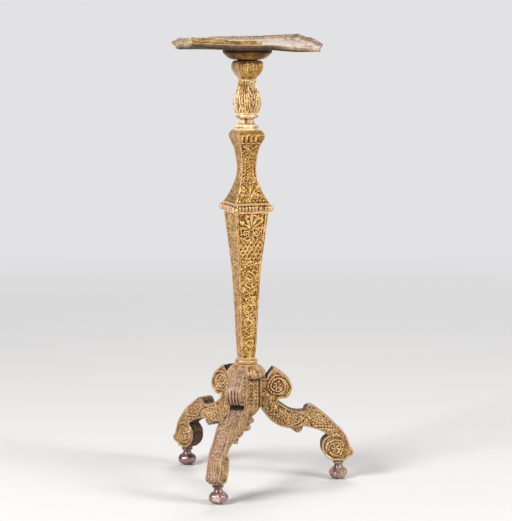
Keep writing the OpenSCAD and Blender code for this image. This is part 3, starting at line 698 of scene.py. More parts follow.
def varnish():
    """Dark brown varnish of the turned disc, warmer and lighter where it has been handled, and painted
    darker near the board above it as the board's shadow.
    """
    n = Nodes("brown_varnish")
    cloud = n.noise(34, 6, 0.6, 0.5)
    fine = n.noise(260, 5, 0.7)
    base = n.ramp(cloud, (0.36, 74, 42, 12), (0.5, 122, 80, 32), (0.62, 178, 130, 64))
    chipped = n.mix(n.spread(fine, 0.6, 0.7, 0.0, 0.5), base, colour(168, 140, 104))
    # Darker where the darkening attribute is set: the painted shadow of the board.
    n.set("Base Color", n.mix(n.attribute("shade_and_soot"), chipped,
                              n.ramp(cloud, (0.35, 36, 22, 10), (0.65, 62, 40, 20))))
    n.set("Metallic", 0.25)
    n.set("Specular IOR Level", 0.25)
    n.set("Roughness", n.spread(fine, 0.3, 0.7, 0.34, 0.52))
    n.bump(fine, 0.3, 0.0005)
    return n.material


def copper_paint():
    """Glossy mauve-brown paint of the ball feet, scuffed, with old gilding where it is called worn, dark in
    their dents and creases as painted shade, and painted shade round their necks, at their bases and over
    the whole left foot."""
    n = Nodes("copper_paint")
    scuff = n.noise(260, 5, 0.75, 0.8)
    base = n.ramp(n.noise(60, 5, 0.6), (0.34, 96, 64, 62), (0.48, 170, 134, 130), (0.62, 236, 208, 200))
    dusty = n.mix(n.spread(scuff, 0.54, 0.68, 0.0, 0.6), base, colour(206, 180, 160))
    bare = n.most(n.spread(n.noise(90, 5, 0.7), 0.54, 0.66, 0.0, 0.5), n.attribute("wear"))
    gilt = n.mix(bare, dusty, n.ramp(scuff, (0.4, 150, 120, 84), (0.6, 206, 178, 138)))
    # Painted shade where the relief is low: dents, facet edges and the crease under the collar.
    dark = n.mix(n.spread(n.attribute("relief"), 0.2, 0.44, 0.9, 0.0), gilt, colour(40, 24, 22))
    n.set("Base Color", n.mix(n.times(n.attribute("shade_and_soot"), 0.94), dark, colour(48, 32, 28)))
    n.set("Metallic", 0.6)
    n.set("Roughness", n.spread(scuff, 0.35, 0.7, 0.24, 0.46))
    n.set("Coat Weight", 0.12)
    n.set("Coat Roughness", 0.15)
    n.bump(scuff, 0.25, 0.0005)
    return n.material


def plain_worn(name, light, dark, scale, roughness, metallic=0.0):
    """Finish of the small pieces that hardly show: two tones along a grain."""
    n = Nodes(name)
    grain = n.noise(scale, 6, 0.7, 1.2)
    n.set("Base Color", n.ramp(grain, (0.35, *dark), (0.65, *light)))
    n.set("Roughness", n.spread(grain, 0.3, 0.7, roughness, roughness + 0.2))
    n.set("Metallic", metallic)
    n.bump(grain, 0.4, 0.0005)
    return n.material


GESSO, VARNISH, COPPER = gesso(), varnish(), copper_paint()
WOOD = plain_worn("bare_wood", (140, 98, 62), (92, 60, 36), 90, 0.55)
IRON = plain_worn("rusty_iron", (112, 74, 36), (66, 40, 18), 300, 0.45, 0.4)

# ---- Tapered shaft ----


def side_borders(c, half, band):
    """A flat raised band down both sides of a face, with a fine groove beside it."""
    edge = half - np.abs(c.x)
    c.h = np.maximum(c.h, c.ground * (1 - ease((band + 0.8 - edge) / 1.2)))
    c.h -= 0.7 * hump(edge - band * 0.55, 0.9)


def s_scroll(c, y, length, reach, hand, height):
    """An S of ribs with a curl at each end, leaves springing from it and a bud beside each curl."""

    def spots(sign, *shares):
        """Places as shares of the reach and of the length, measured from the middle of the S."""
        return [[sign * hand * reach * u, y + length * (0.5 + sign * v)] for u, v in shares]

    spine = spots(1, (-0.7, -0.3), (-0.1, -0.42), (0.5, -0.23), (0, 0), (-0.5, 0.23), (0.1, 0.42),
                  (0.7, 0.3))
    c.rib(smooth(spine), 2.3, height)
    for sign in (-1, 1):
        (eye,) = spots(sign, (0.5, 0.29))
        c.curl(*eye, reach * 0.4, reach * 0.16, 1.1, 90 * sign, -hand, 1.9, height)
        c.leaf(smooth(spots(sign, (0.15, 0.06), (0.6, -0.03), (0.95, -0.2)), 4), reach * 0.28,
               height * 0.95, 2)
        c.leaf(smooth(spots(sign, (0.3, 0.1), (0.7, 0.06), (1.0, 0.1)), 4), reach * 0.2, height * 0.85)
        near, far = spots(sign, (-0.78, 0.4), (-0.88, 0.22))
        c.boss(*near, reach * 0.17, height * 0.9)
        c.boss(*far, reach * 0.13, height * 0.85)
        c.pit(*eye, reach * 0.1, 1.2)


def palmette(c, x, y, size, leaves, height):
    """A fan of leaves that springs upward, to smaller y, from x, y. Only narrow slots part its leaves, and
    their tips turn outward."""
    for k in range(leaves):
        off = (k / (leaves - 1) - 0.5) * 2
        a = math.radians(90 - 80 * off)
        reach = size * (1 - 0.16 * off * off)
        u = np.array([math.cos(a), -math.sin(a)])
        side = np.array([math.sin(a), math.cos(a)])
        bend = 0.1 * size * off
        path = smooth([[x, y] + u * reach * r + side * bend * b
                       for r, b in ((0.12, 0), (0.5, 0.1), (0.82, 0.45), (0.97, 1))], 4)
        c.rib(path, along(path, [0, 0.5, 0.85, 1], [1.1, size * 0.105, size * 0.145, size * 0.09]), height)
        c.groove(path[2:-3], 0.7, height * 0.22)
    c.boss(x, y, size * 0.15, height)


def shaft_face(x, z, half):
    """Carving of one face of the shaft: palmette, scrolls, trellis and a run of S-scrolls and rosettes."""
    y = KNOP_Z - z
    c = Carving(x, y, SHAFT_GROUND, 1.7, 4.6, 11)
    palmette(c, 0, 36, 31, 7, 3.2)
    for side in (-1, 1):
        c.curl(side * 12, 45, 8.5, 2.6, 1.25, -90 * side, side, 2.1, 3.0)
        c.rib(smooth([[side * 3, 36], [side * 5.5, 45], [side * 2, 55]]), 1.8, 2.7)
        c.leaf(smooth([[side * 3, 59], [side * 11, 60], [side * 19, 54]]), 4, 2.8, 3)
        c.boss(side * 22, 41, 2.6, 2.6)
    c.rosette(0, 47, 5, 5, 3.1)
    pitch = 9.6
    sway = np.random.default_rng(17).uniform(-0.9, 0.9, (5, 7, 2))
    for row in range(5):
        for k in range(-3, 4):
            bx = (k + 0.5 * (row % 2)) * pitch + sway[row, k + 3, 0]
            by = 66 + row * pitch * 0.82 + sway[row, k + 3, 1]
            c.rib([[bx - 2.8, by + 2.0], [bx + 2.8, by - 2.0]], 3.0, 2.9)
            c.groove([[bx - 2.0, by + 1.5], [bx + 2.0, by - 1.5]], 0.8, 0.6)
    c.rosette(-9, 111, 8.2, 5, 3.1)
    c.rosette(9, 113, 8.2, 5, 3.1)
    for sx in (-1, 0, 1):
        c.pit(sx * 6, 121, 1.7, 1.6)
    y_next, hand = 124, 1
    panels = ((42, 19, 55), (38, 16.5, 50), (34, 14.5, 45), (30, 12.5, 40))
    for count, (length, reach, panel) in enumerate(panels):
        s_scroll(c, y_next, length, reach, hand, 2.9)
        y_next += length + 1
        c.rosette(0, y_next + reach * 0.3, reach * 0.44, 6 - count % 2, 3.0)
        for side in (-1, 1):
            c.leaf(smooth([[side * reach * 0.4, y_next + 1], [side * reach * 0.8, y_next - 1],
                           [side * reach, y_next + reach * 0.45]]), reach * 0.17, 2.7, 0)
        y_next += panel - length - 1
        hand = -hand
    c.leaf(smooth([[0, 322], [0, 312], [0, 302]]), 7, 2.9, 3)
    c.h += 0.5 * flat_noise(x, y, 2.6, 12)
    side_borders(c, half, 3.0 + 3.2 * (half - SHAFT_FOOT_HALF) / (SHAFT_TOP_HALF - SHAFT_FOOT_HALF))
    ends = np.minimum(y, KNOP_Z - SHAFT_Z - y)
    return np.where(ends < 4, c.h * ease((ends - 1.5) / 2.5), c.h)


def tapered_shaft():
    flare = SHAFT_TOP_HALF - SHAFT_FOOT_HALF
    shares = ((0, 0), (0.13, 0.135), (0.257, 0.37), (0.437, 0.605), (0.77, 0.84), (1, 1))
    outline = smooth(rising(SHAFT_Z, KNOP_Z, *((SHAFT_FOOT_HALF + w * flare, h) for w, h in shares)))
    square_carved("carved_shaft", outline, 66, 1.6, shaft_face, "tapered_shaft", GILT, 21)


# ---- Waisted block ----


def block_face(x, z, half):
    """Carving of one face of the waisted block, under its cornice and row of flutes."""
    y = BALUSTER_Z - z
    c = Carving(x, y, BLOCK_GROUND, 1.5, 4.4, 13)
    for k in range(-2, 2):
        c.rib([[k * 10.5, 14], [k * 10.5, 23.5]], [4.4, 3.4], 3.0)
        c.pit(k * 10.5 + 5.2, 20, 2.6, 1.6)
    c.rosette(21, 18.5, 5.2, 6, 2.6)
    c.pit(21, 18.5, 1.8, 1.6)
    for side in (-1, 1):
        c.leaf(smooth([[side * 1.5, 53], [side * 4, 43], [side * 14, 35]]), 5, 2.6, 4)
        c.rib(smooth([[side * 15, 34], [side * 3, 41], [-side * 8, 51]]), 1.8, 2.3)
        c.curl(side * 6.6, 62, 5.4, 1.8, 1.1, 90 * side, -side, 1.7, 2.5)
        c.rib(smooth([[side * 9.2, 60], [side * 8.2, 78], [side * 9, 94]]), 1.9, 2.3)
        c.curl(side * 7.5, 101, 6, 2, 1.2, -90 * side, side, 1.7, 2.5)
        c.leaf(smooth([[side * 3, 122], [side * 6, 110], [side * 15, 106]]), 5.5, 2.6, 3)
        c.leaf(smooth([[side * 4, 138], [side * 12, 128], [side * 21, 124]]), 6, 2.6, 4)
        c.curl(side * 24, 137, 6.5, 2.2, 1.2, 180 if side > 0 else 0, side, 1.9, 2.4)
        for k in range(4):
            c.boss(side * (4.5 + 7.4 * k), 146.5, 3.0, 1.7)
            c.pit(side * (8.2 + 7.4 * k), 147, 1.5, 1.3)
    c.rosette(0, 32, 4.6, 6, 2.6)
    c.rosette(0, 57, 4.8, 5, 2.6)
    for k in range(5):
        c.rib([[-2.8, 68.5 + 6 * k], [2.8, 65 + 6 * k]], 2.3, 2.5)
    c.rosette(0, 98, 4.8, 6, 2.6)
    palmette(c, 0, 137, 29, 5, 2.8)
    c.h += 0.45 * flat_noise(x, y, 2.4, 14)
    side_borders(c, half, 2.6 + 0.07 * np.maximum(half - 16, 0))
    fillet = np.maximum(hump(y - 28, 2.6), hump(y - 12.2, 1.6))
    c.h = np.maximum(c.h, BLOCK_GROUND + 2.7 * fillet)
    plain = np.maximum(ease((11.5 - y) / 1.0), ease((y - 150.5) / 1.5))
    return c.h * (1 - plain)


def waisted_block():
    flare, spread = BLOCK_FOOT_HALF - WAIST_HALF, CORNICE_HALF - WAIST_HALF
    cornice = BALUSTER_Z - 11
    waist = rising(BLOCK_Z, BALUSTER_Z, (BLOCK_FOOT_HALF, 0), (WAIST_HALF + 0.6 * flare, 0.112),
                   (WAIST_HALF + 0.245 * flare, 0.25), (WAIST_HALF + 0.035 * flare, 0.385),
                   (WAIST_HALF, 0.525), (WAIST_HALF + 0.305 * spread, 0.725))
    body = smooth(waist + [[CORNICE_HALF - 3, cornice - 13], [CORNICE_HALF - 0.6, cornice - 8]])
    head = smooth([[CORNICE_HALF, cornice - 3], [CORNICE_HALF + 0.4, cornice],
                   [CORNICE_HALF - 0.6, cornice + 2.6], [CORNICE_TOP_HALF + 2, BALUSTER_Z - 2.6],
                   [CORNICE_TOP_HALF, BALUSTER_Z]], 4)
    outline = np.vstack([body, head])
    square_carved("carved_block", outline, 60, 2.2, block_face, "waisted_block", GILT_BLOCK, 31)


# ---- Knop ----


def knop_face(x, z, half):
    """Tall beads side by side along the knop's face, with a ringed flower near one end."""
    y = z - KNOP_Z
    c = Carving(x, y, KNOP_GROUND)
    pitch = 7.3
    for k in (-4, -3, -2, -1, 0, 1, 4):
        c.rib([[k * pitch + 0.8, 5.4], [k * pitch + 0.8, 10.6]], 3.5, 3.0)
    c.rosette(19, 8, 5.6, 6, 2.8)
    plain = ease((np.abs(x) - (half - 8)) / 1.5)
    c.h = c.h * (1 - plain) + 0.3 * plain
    return c.h * ease(1 - (np.abs(y - 8) - 6.2) / 1.2)


def knop():
    z, half = KNOP_Z, KNOP_HALF
    steps = ((2.4, 2.4), (1.6, 4.2), (0, 6.2), (0, 10.6), (1.6, 12.4), (2.4, 13.8))
    sides = [[half - inset, z + up] for inset, up in steps]
    outline = smooth([[SHAFT_TOP_HALF + 1, z]] + sides + [[BLOCK_FOOT_HALF, BLOCK_Z]], 4)
    square_carved("beaded_knop", outline, 96, 3.2, knop_face, "knop_moulding", GILT_RUBBED, 41, 0.7,
                  (1, 1, 1, 1), (0.2, 0.3, 0.3, 0.8))
    centre = KNOP_HALF - BEAD_R * 0.25
    balls = []
    angle = np.radians(np.linspace(8, 172, 30))
    swell = BEAD_R * np.stack([np.sin(angle), -np.cos(angle)], axis=1)
    for k in range(4):
        grid, a, _ = turned_grid(swell, 40, 0.6)
        grid = grid * (1 + 0.05 * np.cos(3 * a + k))[..., None]
        middle = spun(np.array([centre, -centre, z + (BLOCK_Z - KNOP_Z) / 2]), 90 * k)
        balls.append(lean(worn(spun(grid + middle, STEM_TURN), 43 + k, 0.25, 5.0)))
    verts, faces = joined(balls)
    piece("corner_beads", verts, faces, GILT_RUBBED, ["knop_corner_beads"])


# ---- Ring, dome, hub and pendant ----


def gadroons(angle, count, shift=0.0, power=0.5):
    """Round lobes side by side: 0 along their crests and -1 in the valleys between them."""
    u = np.abs(sector(angle, count, shift)) / (math.pi / count)
    return -(1 - np.clip(1 - u**2, 0, 1) ** power)


RING_R = 24.2
PENDANT_R, PENDANT_TOP_R = 10, 17


def shaft_ring():
    outline = smooth(rising(RING_Z, SHAFT_Z, (RING_R - 6, 0), (RING_R - 1.6, 0.16), (RING_R, 0.45),
                            (RING_R - 0.4, 0.68), (RING_R - 2.4, 0.88), (RING_R - 5, 1)))
    grid = turned_grid(outline, 160, 0.7)[0]
    grid_piece("stem_ring", worn(grid, 51, 0.35, 11), GILT_RUBBED, "shaft_ring")


def dome():
    rise = RING_Z - DOME_Z
    shoulder = rising(DOME_Z, RING_Z, (DOME_R, 0.34), (DOME_R - 2, 0.56), (DOME_R - 8.5, 0.82),
                      (DOME_TOP_R, 1))
    outline = np.vstack([[[DOME_R - 7, DOME_Z], [DOME_R - 5, DOME_Z + 1.5]],
                         smooth([[DOME_R - 3, DOME_Z + 3]] + shoulder)])
    grid, a, _ = turned_grid(outline, 364, 0.8)
    z = grid[..., 2] - DOME_Z
    fade = ease((z - 2.0) / 4) * ease((rise + 2 - z) / 7)
    shift = -math.radians(14)
    u = np.abs(sector(a, DOME_LOBES, shift)) / (math.pi / DOME_LOBES)
    round_ends = ease((u * 1.15 - (z - 1.5) / 7) / 0.5) * ease((11 - z) / 4)
    valleys = gadroons(a, DOME_LOBES, shift, 0.42)
    veins = -0.6 * hump(u - 0.42, 0.09) * ease((rise * 0.8 - z) / 6) * ease((z - 8) / 4)
    h = valleys * 4.6 * fade + veins - 2.2 * round_ends
    # Over each leg a plain strip runs up from the leg's crest in place of the lobes
    off_leg = np.min([np.abs(wrapped(a, turn)) for turn in LEG_TURNS.values()], axis=0) * DOME_R
    strip = ease((LEG_W / 2 - off_leg) / 2)
    lines = hump(off_leg - 8, 1.3)
    h = h * (1 - strip) - (0.3 + 1.0 * lines) * strip * fade
    beads = hump(z - 1.2, 1.6) * -0.9 * (sector(a, 64) > 0)
    lobe = np.round((a + shift) / (TAU / DOME_LOBES))
    pink = 0.75 * (flat_noise(lobe * 7.3, 0 * a, 3.1, 54) > 0.05)
    grid_piece("lobed_dome", worn(pushed(grid, h + beads), 53, 0.4), GILT_RUBBED, "hub_dome",
               reach=30, depth=2.2, wear=np.maximum(0.35 + pink, 0.9 * strip))


def hub():
    nose = rising(NOSE_Z, HUB_Z, (11, 0), (HUB_R * 0.64, 0.3), (HUB_R * 0.84, 0.62), (HUB_R, 1))
    outline = np.vstack([smooth(nose), [[HUB_R, DOME_Z]]])
    grid, a, run = turned_grid(outline, 260, 1.0)
    c = Carving(sector(a, HUB_LEAVES) * HUB_R, run, HUB_GROUND, 1.2, 4.0, 55, 0.8)
    for k in range(-1, 12):
        low = run.max() - 8 * (k + 1.2)
        c.leaf([[0, low], [0, low + 4], [0, low + 8.5]], 4.4, 2.2, 2)
        for x in (5.6, -5.6):
            c.pit(x, low + 4, 1.8, 1.7)
    radius = np.hypot(grid[..., 0], grid[..., 1])
    wanted = radius + c.h * ease((run - 4) / 8)
    for turn in LEG_TURNS.values():
        off = np.abs(wrapped(a, turn))
        flat = np.where(off < 1.2, (LEG_FACE_R - 0.05) / np.cos(np.minimum(off, 1.2)), 1e3)
        wanted = np.minimum(wanted, flat)
    grid[..., :2] *= (wanted / radius)[..., None]
    # The top of the hub, just under the dome, is darkened as painted shade.
    grid_piece("carved_hub", grid, GILT_LEG, "hub_body", depth=1.0, shade_and_soot=ease((run - run.max() + 7) / 4))


def pendant():
    low, r = low_z("hub_pendant"), PENDANT_R
    waist = (NOSE_Z + low) / 2
    ball = rising(low, NOSE_Z, (r * 0.2, 0), (r * 0.8, 0.1), (r, 0.26)) + [[r * 0.75, waist - 1]]
    head = rising(low, NOSE_Z, (r * 0.8, 0.5), (PENDANT_TOP_R, 0.7))
    head += [[PENDANT_TOP_R * 0.9, NOSE_Z - 3], [11, NOSE_Z]]
    grid, a, _ = turned_grid(np.vstack([smooth(ball), smooth(head)]), 140, 0.7)
    z = grid[..., 2]
    lobes = gadroons(a, 8) * 2.2 * ease((z - waist) / 3) * ease((NOSE_Z - z) / 3)
    swirl = gadroons(a + (z - low) * 0.08, 6) * 1.4 * ease((waist - 1.5 - z) / 3)
    # Its waist is darkened as painted shade in the crease.
    grid_piece("lobed_pendant", worn(pushed(grid, lobes + swirl), 57), GILT_LEG, "hub_pendant",
               wear=0 * z + 0.7, shade_and_soot=hump(z - waist, 3))


# ---- Baluster, capital and disc ----


def vase_leaves(a, run, radius, length):
    """Four plumes of long upright ribs round the vase, with a fan of slanting leaves between each two."""
    c = Carving(sector(a, VASE_PLUMES) * radius, run, VASE_GROUND, 0.0, 4.0, 64, 0.9)
    for k in range(-2, 3):
        path = smooth([[k * 1.8 + 1, 1], [k * 4.4 + 1.5, length * 0.2], [k * 5.4 - 0.5, length * 0.42],
                       [k * 4.6 - 1.5, length * 0.62], [k * 3.3 - 0.5, length * 0.82], [k * 3.6, length]], 6)
        c.rib(path, along(path, [0, 0.4, 0.8, 1], [1.8, 2.7, 1.9, 1.8]), (3.1, 2.6, 3.3, 2.5, 3.0)[k + 2])
    for x in (-2.4, 2.2):
        c.groove(smooth([[x * 1.2, length * 0.5], [x, length * 0.75], [x * 1.1, length * 0.97]], 6), 1.1, 1.8)
    between = sector(a, VASE_PLUMES, TAU / VASE_PLUMES / 2)
    d = Carving(between * radius, run, VASE_GROUND, 0.0, 4.0, 65, 0.9)
    for k, (x, low, tip, high) in enumerate(((-4, 0.02, -9, 0.26), (2, 0.03, 4, 0.3), (7, 0.04, 12, 0.24),
                                              (-2, 0.24, -8, 0.5), (3, 0.25, 8, 0.52), (-4, 0.47, -7.5, 0.7),
                                              (1, 0.45, 1, 0.72), (5, 0.48, 8, 0.68), (0, 0.7, -4, 0.95),
                                              (1, 0.72, 4, 0.97))):
        path = smooth([[x, length * low], [(x + tip) / 2 - 1.2, length * (low + high) / 2],
                       [tip, length * high]], 5)
        d.rib(path, along(path, [0, 0.6, 1], [1.5, 2.7, 1.6]), 2.8 + 0.3 * (k % 2))
    h = np.maximum(c.h, d.h)
    for x, share, size in ((4.5, 0.13, 2.4), (-2.5, 0.42, 1.9), (4.5, 0.66, 1.8)):
        off = np.hypot(between * radius - x, run - length * share) / size
        h = h - 2.2 * ease(1.2 - off)
    return h


def baluster():
    z0, z1 = BALUSTER_Z, CAPITAL_Z
    neck_r, ring_r, foot_r = BALUSTER_NECK_R, VASE_RING_R, CAPITAL_FOOT_R
    foot = smooth(rising(z0, z1, (PLINTH_HALF - 0.3, 0.095), (neck_r + 1.5, 0.143), (neck_r, 0.21)))
    ring = smooth(rising(z0, z1, (neck_r + 3, 0.229), (ring_r - 1, 0.243), (ring_r, 0.271),
                         (ring_r - 1.5, 0.305)))
    vase = smooth(rising(z0, z1, (ring_r - 1, 0.314), (VASE_R - 2, 0.429), (VASE_R, 0.543),
                         (VASE_R - 2.6, 0.695), (foot_r + 2.6, 0.79), (foot_r, 0.886), (foot_r, 1)))
    lower, a_low, _ = turned_grid(np.vstack([foot, ring]), 160, 0.8)
    height = (lower[..., 2] - z0) / (z1 - z0)
    swell = hump((height - 0.17) * (z1 - z0), 8)
    lower = pushed(lower, 1.8 * gadroons(a_low, 4, math.radians(30), 1.0) * swell)
    upper, a, run = turned_grid(vase, 340, 0.8)
    radius = np.hypot(upper[..., 0], upper[..., 1])
    share = run / run.max()
    # Painted highlights: broad pale patches down the vase's left and right sides as the camera sees them,
    # where the carving is also rubbed low.
    left_side = hump(wrapped(a, LEAN_TURN - 66), 0.5) * ease((0.75 - share) / 0.2)
    right_low = 0.45 * hump(wrapped(a, LEAN_TURN + 42), 0.5) * ease((0.66 - share) / 0.2)
    high = ease((share - 0.62) / 0.15) * ease((0.97 - share) / 0.05)
    right_side = 0.9 * hump(wrapped(a, LEAN_TURN + 48), 0.5) * high
    patch = np.max([left_side, right_side, right_low], axis=0)
    h = vase_leaves(a - math.radians(LEAN_TURN - 10), run, radius, run.max())
    h = h * (1 - 0.55 * patch) - 0.5 * patch
    ends = np.minimum(run, run.max() - run)
    upper = pushed(upper, h * ease(ends / 2.5))
    steps = ((0, 0), (0, 7.5), (1, 9), (1, 10))
    plinth = square_grid([[PLINTH_HALF - inset, z0 + up] for inset, up in steps], 34, 1.4, 0.8)[0]
    parts = [worn(spun(plinth, PLINTH_TURN), 61, 0.35), worn(lower, 62, 0.3), worn(upper, 63, 0.25)]
    # On the lower neck: painted highlights down its two sides as the camera sees them, rubbed pale, and a
    # painted shadow down the middle between them.
    off = wrapped(a_low, LEAN_TURN)
    low_share = ease((height - 0.12) * (z1 - z0) / 3) * ease((0.235 - height) * (z1 - z0) / 2)
    bright = ease((np.abs(off + 0.1) - 0.12) / 0.1) * low_share
    shadow = 0.6 * hump(off + 0.1, 0.2) * low_share
    wear = [with_ends(0 * plinth[..., 0] + 0.2), with_ends(bright * 0.95), with_ends(patch)]
    shade_and_soot = [with_ends(0 * plinth[..., 0]), with_ends(shadow), with_ends(0 * share)]
    verts, faces = joined([lean(grid) for grid in parts])
    piece("leafy_baluster", verts, faces, GILT_PALE, ["baluster"], 18, 1.5, np.concatenate(wear),
          np.concatenate(shade_and_soot))


def capital():
    h = DISC_Z - CAPITAL_Z
    r = CAPITAL_R
    outline = smooth(rising(CAPITAL_Z, DISC_Z, (CAPITAL_FOOT_R, 0), (CAPITAL_FOOT_R + 1, 0.1),
                            (r - 7.4, 0.25), (r - 0.8, 0.5), (r + 0.4, 0.69), (r - 0.9, 0.85),
                            (r - 4.5, 0.93), (CAPITAL_NECK_R, 0.95), (CAPITAL_NECK_R, 1)))
    grid, a, run = turned_grid(outline, 378, 0.75)
    radius = np.hypot(grid[..., 0], grid[..., 1])
    top = run[np.argmax(grid[:, 0, 2] > CAPITAL_Z + 0.9 * h), 0]
    a = a - math.radians(LEAN_TURN)
    across = sector(a, CAPITAL_LEAVES)
    c = Carving(across * radius, run, CAPITAL_GROUND, 0.0, 4.0, 66, 0.7)
    width = TAU / CAPITAL_LEAVES * radius.max()
    for k in range(-4, 5):
        spread = width * 0.115 * k
        path = smooth([[k * 0.7, 1], [spread * 0.5, top * 0.3], [spread * 0.92, top * 0.62],
                       [spread, top * (0.97 - 0.02 * abs(k))]], 6)
        c.rib(path, along(path, [0, 0.5, 1], [0.9, 1.7, 2.3]),
              along(path, [0, 1], [1.9, 2.3]) - 0.5 * (k % 2))
    swell = 1.4 * (1 - (np.abs(across) / (math.pi / CAPITAL_LEAVES)) ** 2) - 0.9
    u = np.abs(across * radius) - width / 2
    notches = 3.2 * ease(1.2 - np.hypot(u / 2.2, (run - top * 0.9) / 9))
    teeth = flat_noise(a * radius, run * 0.8, 3.0, 67) + 0.5 * noise(grid, 1.6, 69)
    nicks = 2.4 * ease((teeth - 0.1) / 0.4) * ease((run - top * 0.84) / 3)
    place = wrapped(a, 0)
    plain = ease((math.radians(-30) - place) / 0.06) * ease((place - math.radians(-90)) / 0.06)
    carved = c.h * (1 - 0.85 * plain) + swell - notches - nicks * (place > -0.5)
    lobe = np.round((a + math.pi) / (TAU / CAPITAL_LEAVES)) % CAPITAL_LEAVES
    upper = ease((run - top * 0.6) / (top * 0.3)) * ease((top + 4 - run) / 3)
    grid[..., 2] += 0.9 * np.cos(lobe * 2.3) * upper
    heights = carved * ease(run / 2.5) * ease((top + 3 - run) / 3)
    grid = lean(worn(pushed(grid, heights), 65, 0.25))
    # Painted shadow under the disc, and painted shade in the notches between the leaf tips on the right.
    disc_shadow = ease((grid[..., 2] - DISC_Z + 3.4) / 1.5)
    notch_shade = ease((nicks - 0.3) / 0.8) * (place > -0.5)
    grid_piece("leafy_capital", grid, GILT, "capital", 16, 1.4, plain * 0.9,
               np.maximum(disc_shadow, notch_shade))


def disc():
    edge = BOARD_Z - (BOARD_Z - DISC_Z) * 0.4
    hollow = smooth([[DISC_FOOT_R, DISC_Z], [DISC_FOOT_R + 9, DISC_Z + 3], [DISC_R - 4, edge - 3],
                     [DISC_R - 0.6, edge + 0.4], [DISC_R, edge + 2.5]])
    outline = np.vstack([hollow, [[DISC_R, BOARD_Z - 1.2], [DISC_R - 1, BOARD_Z]]])
    grid = turned_grid(outline, 240, 1.0)[0]
    grid = lean(pushed(grid, noise(grid, 22, 67) * 0.3 + noise(grid, 6, 68) * 0.08))
    # Darkened towards the board above it: the board's painted shadow.
    grid_piece("turned_disc", grid, VARNISH, "top_disc",
               shade_and_soot=ease((grid[..., 2] - BOARD_Z + 10) / 6))


# ---- Top board and rim ----


def board_rise(x, y):
    """Rise of the warped board at a place of its own square."""
    u, v = (np.sign(t) * np.maximum(0, (np.abs(t) - FLAT_HALF) / (BOARD_HALF - FLAT_HALF)) for t in (x, y))
    warp = np.where(u * v > 0, WARP_RISE, WARP_DROP) * u * v
    return warp + BOARD_DISH * np.maximum(np.abs(u), np.abs(v))


def board():
    """The warped board: a closed grid run from the middle of its underside, round its edge, to the middle of
    its top, every ring a square."""
    side_cols = 120
    half = BOARD_HALF
    line = resample(np.array([[0.5, 0], [half - 4.5, 0], [half - 2.2, 0.8], [half - 0.6, 2.6], [half, 5],
                              [half, BOARD_T - 1.2], [half - 1.2, BOARD_T], [0.5, BOARD_T]]), 2.0)
    across = np.linspace(-1, 1, side_cols, endpoint=False)
    one = 0 * across + 1
    out = line[:, :1]
    x = out * np.concatenate([across, one, -across, -one])
    y = out * np.concatenate([-one, across, one, -across])
    up = np.broadcast_to(line[:, 1:], x.shape)
    corner = ease((np.minimum(np.abs(x), np.abs(y)) - (half - 60)) / 60)
    rounded = corner * 4.5 * ease((6 - up) / 6)
    base = np.stack([x, y, BOARD_Z + up + board_rise(x, y)], axis=-1)
    rim_lost = ease((x - (-half + FRONT_RIM_PART * 2 * half)) / 6) * ease((-y - (half - RIM_W)) / 6)
    broken = noise(base, 5.5, 71) * 0.9 + noise(base, 2.1, 72) * 0.5
    on_edge = np.maximum(np.abs(x), np.abs(y)) > half - 1
    edge_pull = (0.25 + 0.35 * noise(base, 9, 73)) * on_edge
    grid = base.copy()
    grid[..., 2] += rounded + np.where(up > BOARD_T - 1, rim_lost * broken, 0) + 0.2 * noise(base, 18, 74)
    for axis, place in enumerate((x, y)):
        grid[..., axis] -= np.sign(place) * edge_pull * (np.abs(place) > half - 1)
    grid[..., 2] = np.where(up < 1, BOARD_Z + (grid[..., 2] - BOARD_Z) * ease((out - DISC_R) / 6),
                            grid[..., 2])
    # Painted shade: the underside, and the lower part of the front edge on its left, are darkened.
    under = ease((6 - up) / 3)
    front = ease((-y - half + 3) / 2)
    shade_fades_from = half * 0.42
    low_part = ease((BOARD_T - 0.4 - up) / 1)
    left = ease((-x - half + 3) / 2)
    edge_shade = np.maximum(1 - front, ease((shade_fades_from + 20 - x) / 40)) * low_part
    edge_shade = edge_shade * (0.85 + 0.15 * ease((BOARD_T * 0.65 - up) / 3)) * (1 - 0.6 * left)
    shade_and_soot = np.maximum(under * ease((half + 30 - x) / 40), edge_shade)
    tan = np.maximum(np.maximum(front, left) * low_part, rim_lost * 0.2 * (up > BOARD_T - 1))
    grid_piece("tray_board", spun(grid, TOP_TURN), GESSO, "top_board", wear=tan, shade_and_soot=shade_and_soot,
               end_shade_and_soot=0.5)


